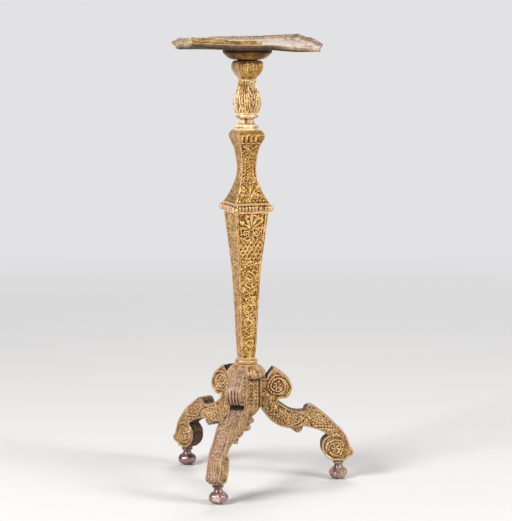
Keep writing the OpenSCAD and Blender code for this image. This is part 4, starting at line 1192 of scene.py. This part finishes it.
def rim(name, turn, material, node, part, seed, rubbed=0.0, dirty=0.0, nose=(0, 0)):
    """One side of the rim: its moulded section swept along the edge, chipped along its bead and mitred, or
    broken off raggedly where part is below 1. nose says how far its first and last ends swell outward."""
    over, foot = RIM_OVERHANG, 0.1
    sides = [[over, foot]] + rising(0, RIM_H, (over - 0.6, 0.2), (over * 0.55, 0.45), (0.3, 0.66))
    bead = rising(0, RIM_H, (0, 0.72), (0.1, 0.86), (1.6, 1))
    bead += [[over, RIM_H - 0.2], [RIM_W * 0.36, RIM_H * 0.9]]
    cove = rising(0, RIM_H, (RIM_W * 0.42, 0.8), (RIM_W * 0.62, 0.42), (RIM_W * 0.86, 0.24), (RIM_W, 0.16))
    runs = [smooth(points, 5) for points in (sides, bead, cove + [[RIM_W, foot]])]
    section = resample(np.vstack(runs + [[[RIM_W * 0.5, foot]]]), 0.9)
    corner = TOP_HALF - 0.1
    stations = int(TOP_HALF * 2 * part / 1.3)
    t = np.linspace(0, 1, stations)[:, None]
    inward, up = section[:, 0][None, :], section[:, 1][None, :]
    left = -corner + inward
    right = (-corner + part * 2 * TOP_HALF) + 0 * inward if part < 1 else corner - inward
    x = left + (right - left) * t
    y = inward - TOP_HALF + 0 * x
    flat = np.stack([x, y, up + 0 * x], axis=-1)
    chipped = ease((noise(flat * [1, 0.3, 0.3], 11, seed) - 0.25) / 0.5) * 1.2 * ease((up - RIM_H * 0.8) / 2)
    streaks = noise(flat * [0.05, 1, 1], 1.7, seed + 1) * 0.3 + noise(flat * [0.5, 1, 1], 9.0, seed + 2) * 0.2
    end_block, kept_bead = 0 * x, 1
    if part < 1:
        lost_bead = ease((t - 0.46) / 0.04) * (3.4 + 0.9 * noise(flat * [1, 0.2, 0.2], 9, seed + 3))
        chipped = chipped + lost_bead * ease((up - RIM_H * 0.62) / (RIM_H * 0.3))
        end_block = ease((t - 0.885) / 0.01) + 0 * x
        kept_bead = ease((0.5 - t) / 0.04)
        x = x + ease((t - 0.97) / 0.03) * (noise(flat * [0.1, 1, 1], 4, seed + 4) * 3.5 - 2)
    first, last = nose[0] * ease((0.09 - t) / 0.09), nose[1] * ease((t - 0.91) / 0.09)
    round_off = hump(up - RIM_H * 0.45, RIM_H * 0.75)
    on_board = np.clip(spun(np.stack([x, y, 0 * x], axis=-1), turn), -BOARD_HALF, BOARD_HALF)
    lift = board_rise(on_board[..., 0], on_board[..., 1])
    x = x + (last - first) * round_off
    y = y - (first + last) * 0.6 * round_off * ease((RIM_W * 0.7 - inward) / 4)
    z = RIM_Z + np.maximum(up - chipped, 0.1) + lift
    streaks = streaks * (up > 1)
    grid = spun(np.stack([x, y + streaks, z + streaks * 0.6], axis=-1), turn + TOP_TURN)
    on_bead = ease((up + 0 * x - RIM_H * 0.76) / 1.5) * ease((RIM_W * 0.45 - inward) / 2)
    if material is GESSO:
        # Here the tan ground shows on the upper part, and white is left low in the cove
        wear = rubbed * np.maximum(ease((up + 0 * x - RIM_H * 0.3) / 2.5), 0.25)
    else:
        chips = ease((noise(flat * [0.6, 1, 1], 14, seed + 6) + 0.25) / 0.3) * ease((RIM_H * 0.62 - up) / 1.5)
        bare = chips if nose[0] else 0 * x
        # A painted highlight: a pale wavy streak along the middle of the rim's outer face.
        wave = RIM_H * (0.5 + 0.16 * noise(flat * [1, 0, 0], 16, seed + 7))
        highlight_streak = ease(1.3 - np.abs(up - wave) / 1.3) * ease((RIM_OVERHANG + 2 - inward) / 2) * kept_bead
        wear = np.max([rubbed + 0 * x, 0.4 * on_bead, highlight_streak, end_block, bare], axis=0)
    lines = ease((noise(flat * [0.03, 1, 1], 2.0, seed + 5) - 0.05) / 0.35)
    upper = ease((up - RIM_H * 0.3) / (RIM_H * 0.3))
    shade_and_soot = dirty * upper * (0.15 + 0.85 * lines) * (1 - 0.6 * on_bead)
    grid_piece(name, grid, material, node, depth=1.0, wear=wear, shade_and_soot=shade_and_soot, flipped=True)


# ---- Legs ----


def at(out, up):
    """A place on a leg: out from 0 at its face on the hub to 1 over the foot, up from 0 at the foot's seat to
    1 at the shoulder under the dome."""
    return [LEG_FACE_R + out * (STANCE_R - LEG_FACE_R), FOOT_Z + up * LEG_RISE]


SCROLL_SEAT = [at(0.555, 0.6), at(0.734, 0.616)]
BRACKET_SEAT = [at(0.382, 0.403), at(0.549, 0.422)]
TOP_EYE, FOOT_EYE = at(0.225, 0.908), at(0.954, 0.146)
# Middle line of the carving on a leg's side, and half its width as shares of the leg's rise
LEG_SPINE = [at(0.095, 0.83), at(0.1, 0.7), at(0.18, 0.59), at(0.31, 0.51), at(0.46, 0.5), at(0.61, 0.505),
             at(0.76, 0.45), at(0.9, 0.37), at(0.985, 0.28)]
LEG_SPINE_W = [0.03, 0.035, 0.055, 0.07, 0.07, 0.07, 0.065, 0.055, 0.045]


def leg_outline():
    seat = FOOT_COLLAR_R + 1
    return np.vstack([
        smooth([[LEG_FACE_R, HUB_Z], at(0.052, 0.6), at(0.139, 0.503), at(0.266, 0.427), BRACKET_SEAT[0]]),
        smooth([BRACKET_SEAT[1], at(0.647, 0.403), at(0.775, 0.357), at(0.867, 0.303)]),
        smooth([at(0.838, 0.286), at(0.792, 0.243), at(0.78, 0.178), at(0.792, 0.114), at(0.844, 0.049),
                [STANCE_R - seat, FOOT_Z]]),
        smooth([[STANCE_R + seat, FOOT_Z], at(1.116, 0.038), at(1.162, 0.049)]),
        smooth([at(1.185, 0.076), at(1.185, 0.108), at(1.145, 0.146)]),
        smooth([at(1.139, 0.168), at(1.11, 0.249), at(1.064, 0.33), at(0.965, 0.422), at(0.838, 0.535),
                SCROLL_SEAT[1]]),
        smooth([SCROLL_SEAT[0], at(0.48, 0.6), at(0.416, 0.61), at(0.35, 0.639), at(0.225, 0.722)]),
        smooth([at(0.24, 0.749), at(0.345, 0.762), at(0.396, 0.828), at(0.408, 0.897), at(0.36, 0.992),
                at(0.242, 1.082), at(0.173, 1.119)]),
        [at(0.127, 1.065), [DOME_R + 1, DOME_Z + 4], [DOME_R + 1, DOME_Z - 0.1], [LEG_FACE_R, DOME_Z - 0.1]]])


def curl_on(a, b, h):
    """Outline, on a seat from a to b, of a curl of height h that leans towards a."""
    a, b = np.array(a), np.array(b)
    along = b - a
    up = np.array([-along[1], along[0]]) / np.linalg.norm(along)
    return smooth([a + up * 0.1, a + 0.12 * along + up * h * 0.62, a + 0.3 * along + up * h * 0.96,
                   a + 0.5 * along + up * h, a + 0.72 * along + up * h * 0.72, b + up * 0.1])


def sawn(outline, width, voxel):
    """A board of the given outline, remeshed finely. Its points are out, up and across, in millimetres."""
    n = len(outline)
    verts = [(out * MM, up * MM, w * MM) for w in (-width / 2, width / 2) for out, up in outline]
    faces = [tuple(range(n))[::-1], tuple(range(n, 2 * n))]
    faces += [(k, (k + 1) % n, n + (k + 1) % n, n + k) for k in range(n)]
    mesh = bpy.data.meshes.new("blank")
    mesh.from_pydata(verts, [], faces)
    obj = shown("blank", mesh)
    remesh = obj.modifiers.new("remesh", "REMESH")
    remesh.mode = "VOXEL"
    remesh.voxel_size = voxel * MM
    done = obj.evaluated_get(bpy.context.evaluated_depsgraph_get())
    fine = done.to_mesh()
    points = point_values(fine.vertices, float, "co", 3)
    normals = point_values(fine.vertex_normals, float, "vector", 3)
    edges = point_values(fine.edges, int, "vertices", 2)
    polygons = [list(p.vertices) for p in fine.polygons]
    done.to_mesh_clear()
    bpy.data.objects.remove(obj)
    bpy.data.meshes.remove(mesh)
    # Averaging over neighbours takes out the steps that the voxels leave along curved edges
    points = neighbours_mean(points / MM, edges, 3)
    normals = neighbours_mean(normals, edges, 2)
    return points, normals / np.linalg.norm(normals, axis=1)[:, None], polygons


def pushed_board(points, normals, on_sides, on_edge):
    """A sawn board's points pushed outward: by on_sides on its two sides and by on_edge on its sawn edge."""
    out = points + normals * on_edge[:, None] * [1, 1, 0]
    out[:, 2] += np.sign(points[:, 2]) * on_sides
    return out


def outline_distance(x, y, outline):
    """Distance of each place from a closed outline, and how far along the outline its nearest point lies."""
    a, b = outline, np.roll(outline, -1, axis=0)
    lengths = np.linalg.norm(b - a, axis=1)
    starts = np.r_[0, np.cumsum(lengths)[:-1]]
    best = np.full(len(x), 1e9)
    run = np.zeros(len(x))
    for (ax, ay), (dx, dy), length, start in zip(a, b - a, lengths, starts):
        t = np.clip(((x - ax) * dx + (y - ay) * dy) / (length**2 + 1e-9), 0, 1)
        off = np.hypot(x - ax - t * dx, y - ay - t * dy)
        closer = off < best
        best = np.where(closer, off, best)
        run = np.where(closer, start + t * length, run)
    return best, run


def volute(c, eye, radius, start, hand, seed, knob):
    """A carved volute: inside its plain outer band a thick notched coil, within it a ring of fat uneven
    petals with pits between them, and in the eye either a knob or a deep hole."""
    x, y = eye
    rng = np.random.default_rng(seed)

    def polar(share, angle):
        return [x + radius * share * math.cos(angle), y + radius * share * math.sin(angle)]

    t = np.linspace(0, 1, 120)
    angle = math.radians(start) + hand * TAU * 1.8 * t
    reach = radius * (1.02 - 0.5 * t) * (1 + 0.04 * np.sin(3 * angle + seed) + 0.02 * np.sin(8 * angle))
    c.rib(np.stack([x + reach * np.cos(angle), y + reach * np.sin(angle)], axis=1), 2.5 - 0.9 * t,
          3.6 - 0.6 * t)
    notches = 16
    for k in range(notches):
        a = TAU * (k + rng.uniform(-0.35, 0.35)) / notches
        share = rng.uniform(0.62, 0.88)
        c.groove([polar(share, a), polar(share + 0.3, a + hand * rng.uniform(0.2, 0.5))],
                 rng.uniform(1.0, 1.4), 1.8)
    petals = 6
    for k in range(petals):
        a = TAU * (k + rng.uniform(-0.15, 0.15)) / petals
        bend = hand * rng.uniform(0.1, 0.5)
        path = smooth([polar(0.15, a), polar(0.26, a + bend * 0.4),
                       polar(rng.uniform(0.34, 0.4), a + bend)], 4)
        c.rib(path, np.linspace(1.4, rng.uniform(2.3, 2.9), len(path)), rng.uniform(2.6, 3.4))
        c.groove(path, 0.6, 0.9)
        c.pit(*polar(rng.uniform(0.4, 0.46), a + TAU / petals * 0.5 + bend), rng.uniform(1.6, 2.4), 3.0)
    if knob:
        c.boss(x, y, 5.0, 3.8)
        c.groove([[x - 3, y + 3], [x + 3, y - 3]], 1.2, 1.6)
    else:
        c.pit(x, y, 3.0, 4.6)


# Stretches of a leg's side, as shares of its middle line, along which the plumes lean up or down
PLUME_RUNS = ((0.0, 0.31, -1), (0.33, 0.63, 1), (0.65, 1.0, -1))
# Long single strokes that cross a leg's side: shares along its middle line, and off it
LONG_STROKES = (((0.2, -0.7), (0.25, 0.1), (0.28, 0.9)),
                ((0.39, -0.95), (0.47, -0.5), (0.56, 0.15), (0.6, 0.8)),
                ((0.52, 0.9), (0.6, 0.35), (0.68, -0.5)),
                ((0.72, -0.6), (0.79, -0.15), (0.88, 0.55)))
PLUME_STEP, FLOWER_R = 15.0, 6.4
VOLUTE_TOP_R, VOLUTE_FOOT_R = 21.5, 19.5
# Height of the ground that meets the plain bead along a leg's edge
EDGE_GROUND = -2.2


def leg_side(x, y, edge):
    """Carving of a leg's side: a worn bead along its edge, a volute at each end, and between them slanting
    plumes in three stretches, with a flower where one stretch meets the next."""
    c = Carving(x, y, LEG_GROUND, 0.9, 5.0, 91, 1.5)
    rng = np.random.default_rng(94)
    spine = smooth(LEG_SPINE, 10)
    width = np.interp(np.arange(len(spine)) / 10, np.arange(len(LEG_SPINE)),
                      np.array(LEG_SPINE_W) * LEG_RISE) + 3
    run = np.r_[0, np.cumsum(np.linalg.norm(np.diff(spine, axis=0), axis=1))]
    across = directions(spine)[1]

    def beside(s, share):
        """A place by the middle line: how far along it in millimetres, and how far off as a share."""
        i = min(int(np.searchsorted(run, s)), len(run) - 1)
        return spine[i] + across[i] * width[i] * share

    for first, last, slant in PLUME_RUNS:
        for s in np.arange(first * run[-1] - 8, last * run[-1], PLUME_STEP):
            lead = rng.uniform(15, 20)
            path = smooth([beside(max(s, 0), -slant), beside(s + lead * 0.35, -slant * 0.45),
                           beside(s + lead * 0.75, slant * 0.3), beside(s + lead, slant)], 6)
            c.feather(path, 8.5, 6, rng.uniform(2.2, 2.9), rng)
    for stroke in LONG_STROKES:
        c.groove(smooth([beside(s * run[-1], share - 0.28) for s, share in stroke], 6), 1.3, 1.6)
        c.rib(smooth([beside(s * run[-1], share) for s, share in stroke], 6), 2.0, 3.9)
    for share in (0.32, 0.64):
        px, py = beside(share * run[-1] + 4, 0)
        c.h = np.where(np.hypot(x - px, y - py) < FLOWER_R, np.minimum(c.h, LEG_GROUND), c.h)
        c.rosette(px, py, FLOWER_R, 6, 2.4)
    for _ in range(24):
        c.pit(*beside(rng.uniform(10, run[-1]), rng.uniform(-0.9, 0.9)), rng.uniform(1.5, 2.4), 2.0)
    tip = np.array(at(0.19, 1.09))
    eye = np.array(TOP_EYE)
    c.feather(smooth([eye + (tip - eye) * 0.72, eye + (tip - eye) * 0.86, tip]), 5.0, 3, 2.3, rng)
    near_top = ease((29 - np.hypot(x - eye[0], y - eye[1])) / 3)
    near_foot = ease((28 - np.hypot(x - FOOT_EYE[0], y - FOOT_EYE[1])) / 3)
    inside = np.maximum(near_top, near_foot)
    v = Carving(x, y, VOLUTE_GROUND, 0.8, 3.8, 98, 1.0)
    volute(v, TOP_EYE, VOLUTE_TOP_R, 60, 1, 4, False)
    volute(v, FOOT_EYE, VOLUTE_FOOT_R, 200, -1, 5, True)
    h = c.h * (1 - inside) + v.h * inside
    h += 0.35 * flat_noise(x, y, 2.5, 93)
    banded = np.maximum(ease((39 - np.hypot(x - eye[0], y - eye[1])) / 4) * ease((y - at(0, 0.72)[1]) / 4),
                        ease((32 - np.hypot(x - FOOT_EYE[0], y - FOOT_EYE[1])) / 3))
    bead = (2.3 + 0.5 * flat_noise(x, y, 9, 99)) * hump(edge - 2.4, 2.6 + banded)
    h = np.max([h, EDGE_GROUND + bead, EDGE_GROUND * (1 - ease((2.2 - edge) / 0.8))], axis=0)
    # The groove inside a volute's band is deep on the side turned away from the leg
    open_side = np.where(y > at(0, 0.6)[1], x - eye[0], FOOT_EYE[0] - x) / 20
    ring = hump(edge - 6.8 + 0.8 * flat_noise(x, y, 7, 97), 1.5) * banded
    return h - ring * (0.7 + 1.7 * ease(0.5 + open_side))


LEAF_STEP = 19


def leg_strip(out, up, across, run, faces_out):
    """Carving of a leg's sawn edge: a bead down each side, leaves in pairs down the middle, rings cut round
    it and gouges over the foot, and on the top volute a plain band that ends in flutes."""
    half = LEG_W / 2
    rng = np.random.default_rng(89)
    c = Carving(across, run, LEG_GROUND, 1.2, 3.6, 92, 1.7)
    for k in range(int(run.max() / LEAF_STEP) + 1):
        y = k * LEAF_STEP + rng.uniform(-2, 2)
        for side in (-1, 1):
            tall = rng.uniform(1.5, 2.6)
            c.leaf(smooth([[side * 1.2, y], [side * 3.2, y + 8], [side * 9.5, y + 12]], 5), 3.8, tall, 2)
            c.rib(smooth([[side * 10, y + 3], [side * 6, y - 1], [side * 2.5, y + 3]], 5), 1.8, 3.6 - tall)
            c.pit(side * 5.5, y + 17, rng.uniform(1.3, 2.2), 1.6)
        c.boss(rng.uniform(-3, 3), y + 15, rng.uniform(2.4, 3.8), 2.0)
    for place in (at(0.87, 0.505), at(1.07, 0.315)):
        c.h -= 1.8 * ease(1 - np.hypot(out - place[0], up - place[1]) / 2.2)
    shaky = across + 0.7 * flat_noise(across, run, 7, 88)
    gouges = -2.6 * waves(shaky, 5.5) ** 0.6
    over_foot = ease((at(0, 0.3)[1] - up) / 3) * ease((up - at(0, 0.15)[1]) / 3) * faces_out
    leaves = np.maximum(c.h * (1 - over_foot) + gouges * over_foot,
                        LEG_GROUND + 2.1 * hump(np.abs(across) - (half - 2), 2.4))
    band = -0.4 - 1.0 * hump(np.abs(across) - (half - 5), 1.3)
    band += 0.5 * hump(across + 1, 2.2)
    flutes = -2.4 * waves(shaky, half * 0.4) ** 0.6
    low = ease((TOP_EYE[1] + 10 - up + 4 * flat_noise(across, 0 * up, 5, 87)) / 12)
    plain = band * (1 - low) + flutes * low
    return leaves, plain


def legs():
    outline = leg_outline()
    points, normals, polygons = sawn(outline, LEG_W, 1.05)
    out, up, across = points.T
    edge, run = outline_distance(out, up, outline)
    half = LEG_W / 2
    on_side = ease((np.abs(across) - (half - 0.9)) / 0.7)
    side = leg_side(out, up, edge)
    faces_out = ease((normals[:, 0] - 0.25) / 0.3)
    leaves, plain = leg_strip(out, up, across, run, faces_out)
    from_eye = np.hypot(out - TOP_EYE[0], up - TOP_EYE[1])
    near_top = ease(1 - (from_eye - 36) / 5) * ease((up - at(0, 0.74)[1]) / 4)
    strip = plain * near_top + leaves * (1 - near_top)
    seated = ease((out - LEG_FACE_R) / 2) * ease((up - FOOT_Z) / 1.5)
    strip_push = strip * (1 - on_side) * ease((half - 0.5 - np.abs(across)) / 1.0)
    carved = pushed_board(points, normals, side * on_side * seated, strip_push * seated)
    carved[:, 2] *= 1 - 0.08 * ease((out - 120) / 80) * ease((140 - up) / 60)
    on_strip = 1 - on_side
    short_of_toe = ease((at(1.05, 0)[0] - out) / 8)
    # Painted shade on faces turned down and in, partly the strip's own dark mauve paint.
    faces_in = ease((-normals[:, 1] - 0.05) / 0.4) * short_of_toe
    faces_in += ease((-normals[:, 0] - 0.2) / 0.4) * ease((out - 150) / 10)
    # Painted shadow in the hollow under the top volute.
    hollow = ease((15 - np.hypot(out - at(0.25, 0)[0], up - at(0, 0.755)[1])) / 4)
    # Painted shade on the crest strip turned towards the dome.
    to_hub = ease((-normals[:, 0] - 0.3) / 0.3) * ease((up - at(0, 0.95)[1]) / 4)
    # Painted shade in the flutes.
    flute_shade = 0.5 * ease((-plain - 1.2) / 1.2) * near_top
    # Painted shade in the hollow of the crest between the volute and the planted scroll.
    crest = 0.6 * ease((normals[:, 1] - 0.2) / 0.3) * ease((SCROLL_SEAT[0][0] + 4 - out) / 8) * (1 - near_top)
    shade_and_soot = on_strip * np.max([np.clip(faces_in, 0, 1) * 0.85 * (1 - near_top), hollow, to_hub, flute_shade],
                             axis=0)
    from_knee = np.hypot(out - at(0.93, 0)[0], up - at(0, 0.46)[1])
    knee = ease(1 - from_knee / 42) * ease((normals[:, 1] + 0.1) / 0.3)
    for name, turn in LEG_TURNS.items():
        own, own_shade_and_soot = carved.copy(), np.maximum(shade_and_soot, on_strip * crest)
        if name == "left":
            own += normals * (3.4 * knee)[:, None] * [1, 1, 0]
        if name == "front":
            own[:, 2] += 3.0 * ease((up - 35) / 25) * ease((125 - up) / 25) * ease((out - 120) / 30)
            own[:, 1] += 5.0 * ease((up - at(0, 0.98)[1]) / 24)
            # The front leg gets no painted shade on its crest.
            own_shade_and_soot = shade_and_soot
        verts = on_leg(own, turn)
        rough = noise(verts, 7, 95) * 0.35 + noise(verts, 2.6, 96) * 0.2
        verts = verts + on_leg(normals, turn) * (rough * seated)[:, None]
        wear = on_strip * 0.75 + 0.5 * ease(1 - edge / 4) + LEG_RUBBING[name]
        piece("carved_leg_" + name, verts, polygons, GILT_LEG, ["leg_" + name], 9, 1.1, wear,
              own_shade_and_soot)


def on_leg(points, turn):
    """Points given as out, up and across on a leg, placed in the frame."""
    c, s = math.cos(math.radians(turn)), math.sin(math.radians(turn))
    out, up, across = points.T
    return np.stack([s * out - c * across, -c * out - s * across, up], axis=1)


def planted(name, seat, width, height, kind, seed):
    """A small scroll or bracket planted on each leg: fluted over its back, with a curl on each side."""
    outline = curl_on(*seat, height)
    points, normals, polygons = sawn(outline, width, 0.8)
    out, up, across = points.T
    edge, run = outline_distance(out, up, outline)
    half = width / 2
    on_side = ease((np.abs(across) - (half - 0.7)) / 0.5)
    flutes = -1.9 * waves(across, half * 2 / 3) ** 0.8 - 0.6 * ease(1 - ((run % 8) - 4) ** 2 / 3)
    middle = outline.mean(axis=0)
    c = Carving(out, up, PLANTED_GROUND, 1.0, 3.5, seed)
    c.curl(*middle, 5.2, 1.5, 1.3, 200, 1, 1.5, 2.2)
    c.pit(*middle, 2.2, 2.0)
    c.h = np.maximum(c.h, PLANTED_GROUND + 2.0 * ease((2.6 - edge) / 1.2))
    from_seat = points[:, :2] - seat[0]
    along_out, along_up = np.subtract(seat[1], seat[0])
    above = from_seat @ [-along_up, along_out] / math.hypot(along_out, along_up)
    seated = ease((above - 0.4) / 2) * ease(np.linalg.norm(from_seat, axis=1) / 3)
    carved = pushed_board(points, normals, c.h * on_side * seated, flutes * (1 - on_side) * seated)
    wear = 0.7 + 0.4 * noise(points, 12, seed)
    # Painted shade on the faces turned towards the hub.
    shade_and_soot = 0.75 * ease((-normals[:, 0] - 0.1) / 0.4)
    for leg_name, turn in LEG_TURNS.items():
        verts = on_leg(carved, turn)
        verts = verts + on_leg(normals, turn) * (noise(verts, 4, seed) * 0.3 * seated)[:, None]
        piece(f"{name}_{leg_name}", verts, polygons, GILT_LEG, [f"{kind}_{leg_name}"], 9, 1.0,
              wear, shade_and_soot)


# ---- Ball feet ----


BALL_R, BALL_H, BALL_FLAT, BALL_SIDES = 20.5, 27, 0.5, 9
COLLAR_H, FOOT_NECK_R = 8, 8.5


def feet():
    collar_z = FOOT_Z - COLLAR_H
    half_h = (BALL_H + BALL_FLAT) / 2
    swing = np.linspace(math.acos(1 - BALL_FLAT / half_h), math.radians(150), 40)
    ball = np.stack([BALL_R * np.sin(swing), half_h * (1 - np.cos(swing)) - BALL_FLAT], axis=1)
    neck = smooth([[FOOT_NECK_R, collar_z - 4], [FOOT_NECK_R, collar_z - 1], [FOOT_COLLAR_R - 1.5, collar_z]])
    collar = smooth([[FOOT_COLLAR_R, collar_z + 1.5], [FOOT_COLLAR_R, collar_z + 3],
                     [FOOT_COLLAR_R - 1.7, FOOT_Z - 3], [FOOT_COLLAR_R, FOOT_Z - 2], [FOOT_COLLAR_R, FOOT_Z]])
    for k, (name, turn) in enumerate(LEG_TURNS.items()):
        grid, a, _ = turned_grid(np.vstack([ball, neck, collar]), 120, 0.8)
        z = grid[..., 2]
        bruised = noise(grid, 12, 101 + k) * 0.8 + noise(grid, 4.5, 104 + k) * 0.2
        flat_side = math.cos(math.pi / BALL_SIDES) / np.cos(sector(a, BALL_SIDES, 0.3 * k))
        facets = 0.7 * BALL_R * (flat_side - 1) * ease((BALL_H - z) / 5)
        grid = pushed(grid, (bruised + facets) * ease(z / 3))
        # The left foot is painted darker all over: painted shade.
        shade_and_grime = 0.45 if name == "left" else 0.0
        wear = 0.3 * ease((z - BALL_H) / 3)
        if name == "right":
            gilt_side = math.radians(CAMERA_TURN - turn) + math.pi / 2
            wear = 0.85 * ease(np.cos(a - gilt_side) * 3)
        # Painted shade under the collar and, in the next line, at the base by the floor.
        neck_shade = 0.7 * ease((z - BALL_H + 3) / 4) * (1 - 0.8 * ease(np.sin((z - BALL_H) * 1.4) * 2))
        shade_and_soot = np.max([neck_shade, shade_and_grime + 0 * z, 0.8 * ease((6 - z) / 5)], axis=0)
        grid_piece("ball_foot_" + name, spun(grid + [0, -STANCE_R, 0], turn), COPPER, "foot_" + name,
                   wear=wear, shade_and_soot=shade_and_soot)


# ---- The part ----

tapered_shaft()
waisted_block()
knop()
shaft_ring()
dome()
hub()
pendant()
baluster()
capital()
disc()
board()
rim("rim_front_left_part", 0, GILT_RIM, "rim_front", FRONT_RIM_PART, 81)
rim("rim_right_side", 90, GESSO, "rim_right", 1.0, 84, 0.85, 0.75)
rim("rim_back_side", 180, GESSO, "rim_back", 1.0, 87, 0.9, 0.6, (0, 5))
rim("rim_left_side", 270, GILT_RIM, "rim_left", 1.0, 90, 0.1, 0.35, (5, 0))
legs()
planted("shoulder_scroll", SCROLL_SEAT, SCROLL_W, SCROLL_H, "leg_scroll", 97)
planted("lobed_bracket", BRACKET_SEAT[::-1], BRACKET_W, BRACKET_H, "leg_bracket", 98)
feet()

for node, material in (("leg_pegs", WOOD), ("top_screws", IRON)):
    for slot in frame["nodes"][node].material_slots:
        slot.material = material

# ---- Stage, lights and camera ----

BACKDROP_COLOUR = colour(226, 226, 228)
BEND_FROM, BEND_R, FLOOR_FRONT, FLOOR_HALF_W, BACKDROP_H = 4.0, 2.5, 6.0, 7.0, 7.0


def stage():
    """Pale floor that bends up into a backdrop far behind the part. Far from the part the camera sees it as
    an even pale grey on all sides, and glossy surfaces do so behind the part. Near the part only the lamps
    light it."""
    n = Nodes("studio_paper")
    n.set("Base Color", colour(232, 230, 228))
    n.set("Roughness", 0.9)
    glow = n.new("ShaderNodeEmission", Color=BACKDROP_COLOUR, Strength=1.0)
    paths = n.new("ShaderNodeLightPath").outputs
    place = n.new("ShaderNodeSeparateXYZ", Vector=n.place()).outputs
    side, behind = place["X"], place["Y"]
    squares = n.plus(n.times(side, side), n.times(behind, behind))
    around = n.maths("POWER", squares, 0.5)
    seen = n.times(paths["Is Camera Ray"], n.spread(around, 0.6, 4.0))
    mirrored = n.times(paths["Is Glossy Ray"], n.spread(behind, 0.6, 4.0))
    mixed = n.new("ShaderNodeMixShader")
    n.feed(mixed.inputs[0], n.most(seen, mirrored))
    n.feed(mixed.inputs[1], n.shader.outputs["BSDF"])
    n.feed(mixed.inputs[2], glow.outputs["Emission"])
    n.feed(n.tree.nodes["Material Output"].inputs["Surface"], mixed.outputs["Shader"])
    bend = [(BEND_FROM + BEND_R * math.sin(t), BEND_R * (1 - math.cos(t)))
            for t in np.linspace(0, math.pi / 2, 24)]
    line = [(-FLOOR_FRONT, 0), (0, 0)] + bend + [(BEND_FROM + BEND_R, BACKDROP_H)]
    verts = [(w, far, up) for far, up in line for w in (-FLOOR_HALF_W, FLOOR_HALF_W)]
    faces = [(2 * k, 2 * k + 1, 2 * k + 3, 2 * k + 2) for k in range(len(line) - 1)]
    mesh = bpy.data.meshes.new("studio_floor")
    mesh.from_pydata(verts, [], faces)
    mesh.shade_smooth()
    mesh.materials.append(n.material)
    obj = shown("studio_floor", mesh)
    obj.rotation_euler = (0, 0, math.radians(CAMERA_TURN))


def lamp(name, turn, height, distance, size, power, aim=0.5):
    """A soft area lamp at a turn from the camera's own direction, aimed at a height on the stem."""
    data = bpy.data.lights.new(name, "AREA")
    data.shape = "RECTANGLE"
    data.size, data.size_y = size
    data.energy = power
    obj = shown(name, data)
    a = math.radians(CAMERA_TURN + turn)
    obj.location = (distance * math.sin(a), -distance * math.cos(a), height)
    obj.rotation_euler = (Vector((0, 0, aim)) - obj.location).to_track_quat("-Z", "Y").to_euler()


# The camera stands at a turn from the front leg, at a level distance from the axis, looking a little down and
# right of the axis. The focal length is in pixels of the photograph, whose long side is FRAME_LONG.
CAMERA_DISTANCE, CAMERA_HEIGHT = 4.1704, 1.0496
CAMERA_PITCH, CAMERA_YAW = 0.136, 0.005
FOCAL_PIXELS, FRAME_LONG = 1982.7, 521
SENSOR = 36.0


def camera():
    data = bpy.data.cameras.new("camera")
    data.sensor_width = SENSOR
    data.lens = FOCAL_PIXELS / FRAME_LONG * SENSOR
    data.clip_start, data.clip_end = 0.1, 60
    obj = shown("camera", data)
    a = math.radians(CAMERA_TURN)
    obj.location = (CAMERA_DISTANCE * math.sin(a), -CAMERA_DISTANCE * math.cos(a), CAMERA_HEIGHT)
    ahead = Vector((-math.sin(a - CAMERA_YAW), math.cos(a - CAMERA_YAW), 0)).normalized()
    look = ahead * math.cos(CAMERA_PITCH) + Vector((0, 0, -math.sin(CAMERA_PITCH)))
    obj.rotation_mode = "QUATERNION"
    obj.rotation_quaternion = look.to_track_quat("-Z", "Y")
    bpy.context.scene.camera = obj


def world():
    """An even pale surround that lights softly, and that the camera sees as pale as the backdrop."""
    w = bpy.data.worlds.new("studio")
    bpy.context.scene.world = w
    w.use_nodes = True
    tree = w.node_tree
    light = tree.nodes["Background"]
    light.inputs["Color"].default_value = colour(232, 233, 236)
    light.inputs["Strength"].default_value = 0.3
    seen = tree.nodes.new("ShaderNodeBackground")
    seen.inputs["Color"].default_value = BACKDROP_COLOUR
    mixed = tree.nodes.new("ShaderNodeMixShader")
    camera_ray = tree.nodes.new("ShaderNodeLightPath").outputs["Is Camera Ray"]
    for output, socket in ((camera_ray, mixed.inputs[0]), (light.outputs[0], mixed.inputs[1]),
                           (seen.outputs[0], mixed.inputs[2]),
                           (mixed.outputs[0], tree.nodes["World Output"].inputs["Surface"])):
        tree.links.new(output, socket)


stage()
camera()
world()
lamp("key_left", -50, 2.2, 3.2, (1.4, 1.4), 125)
lamp("fill_right", 62, 1.6, 3.2, (1.0, 1.6), 75)
lamp("top_back", 170, 3.0, 2.4, (1.6, 1.0), 40, 0.7)

bpy.context.scene.view_settings.view_transform = "Standard"
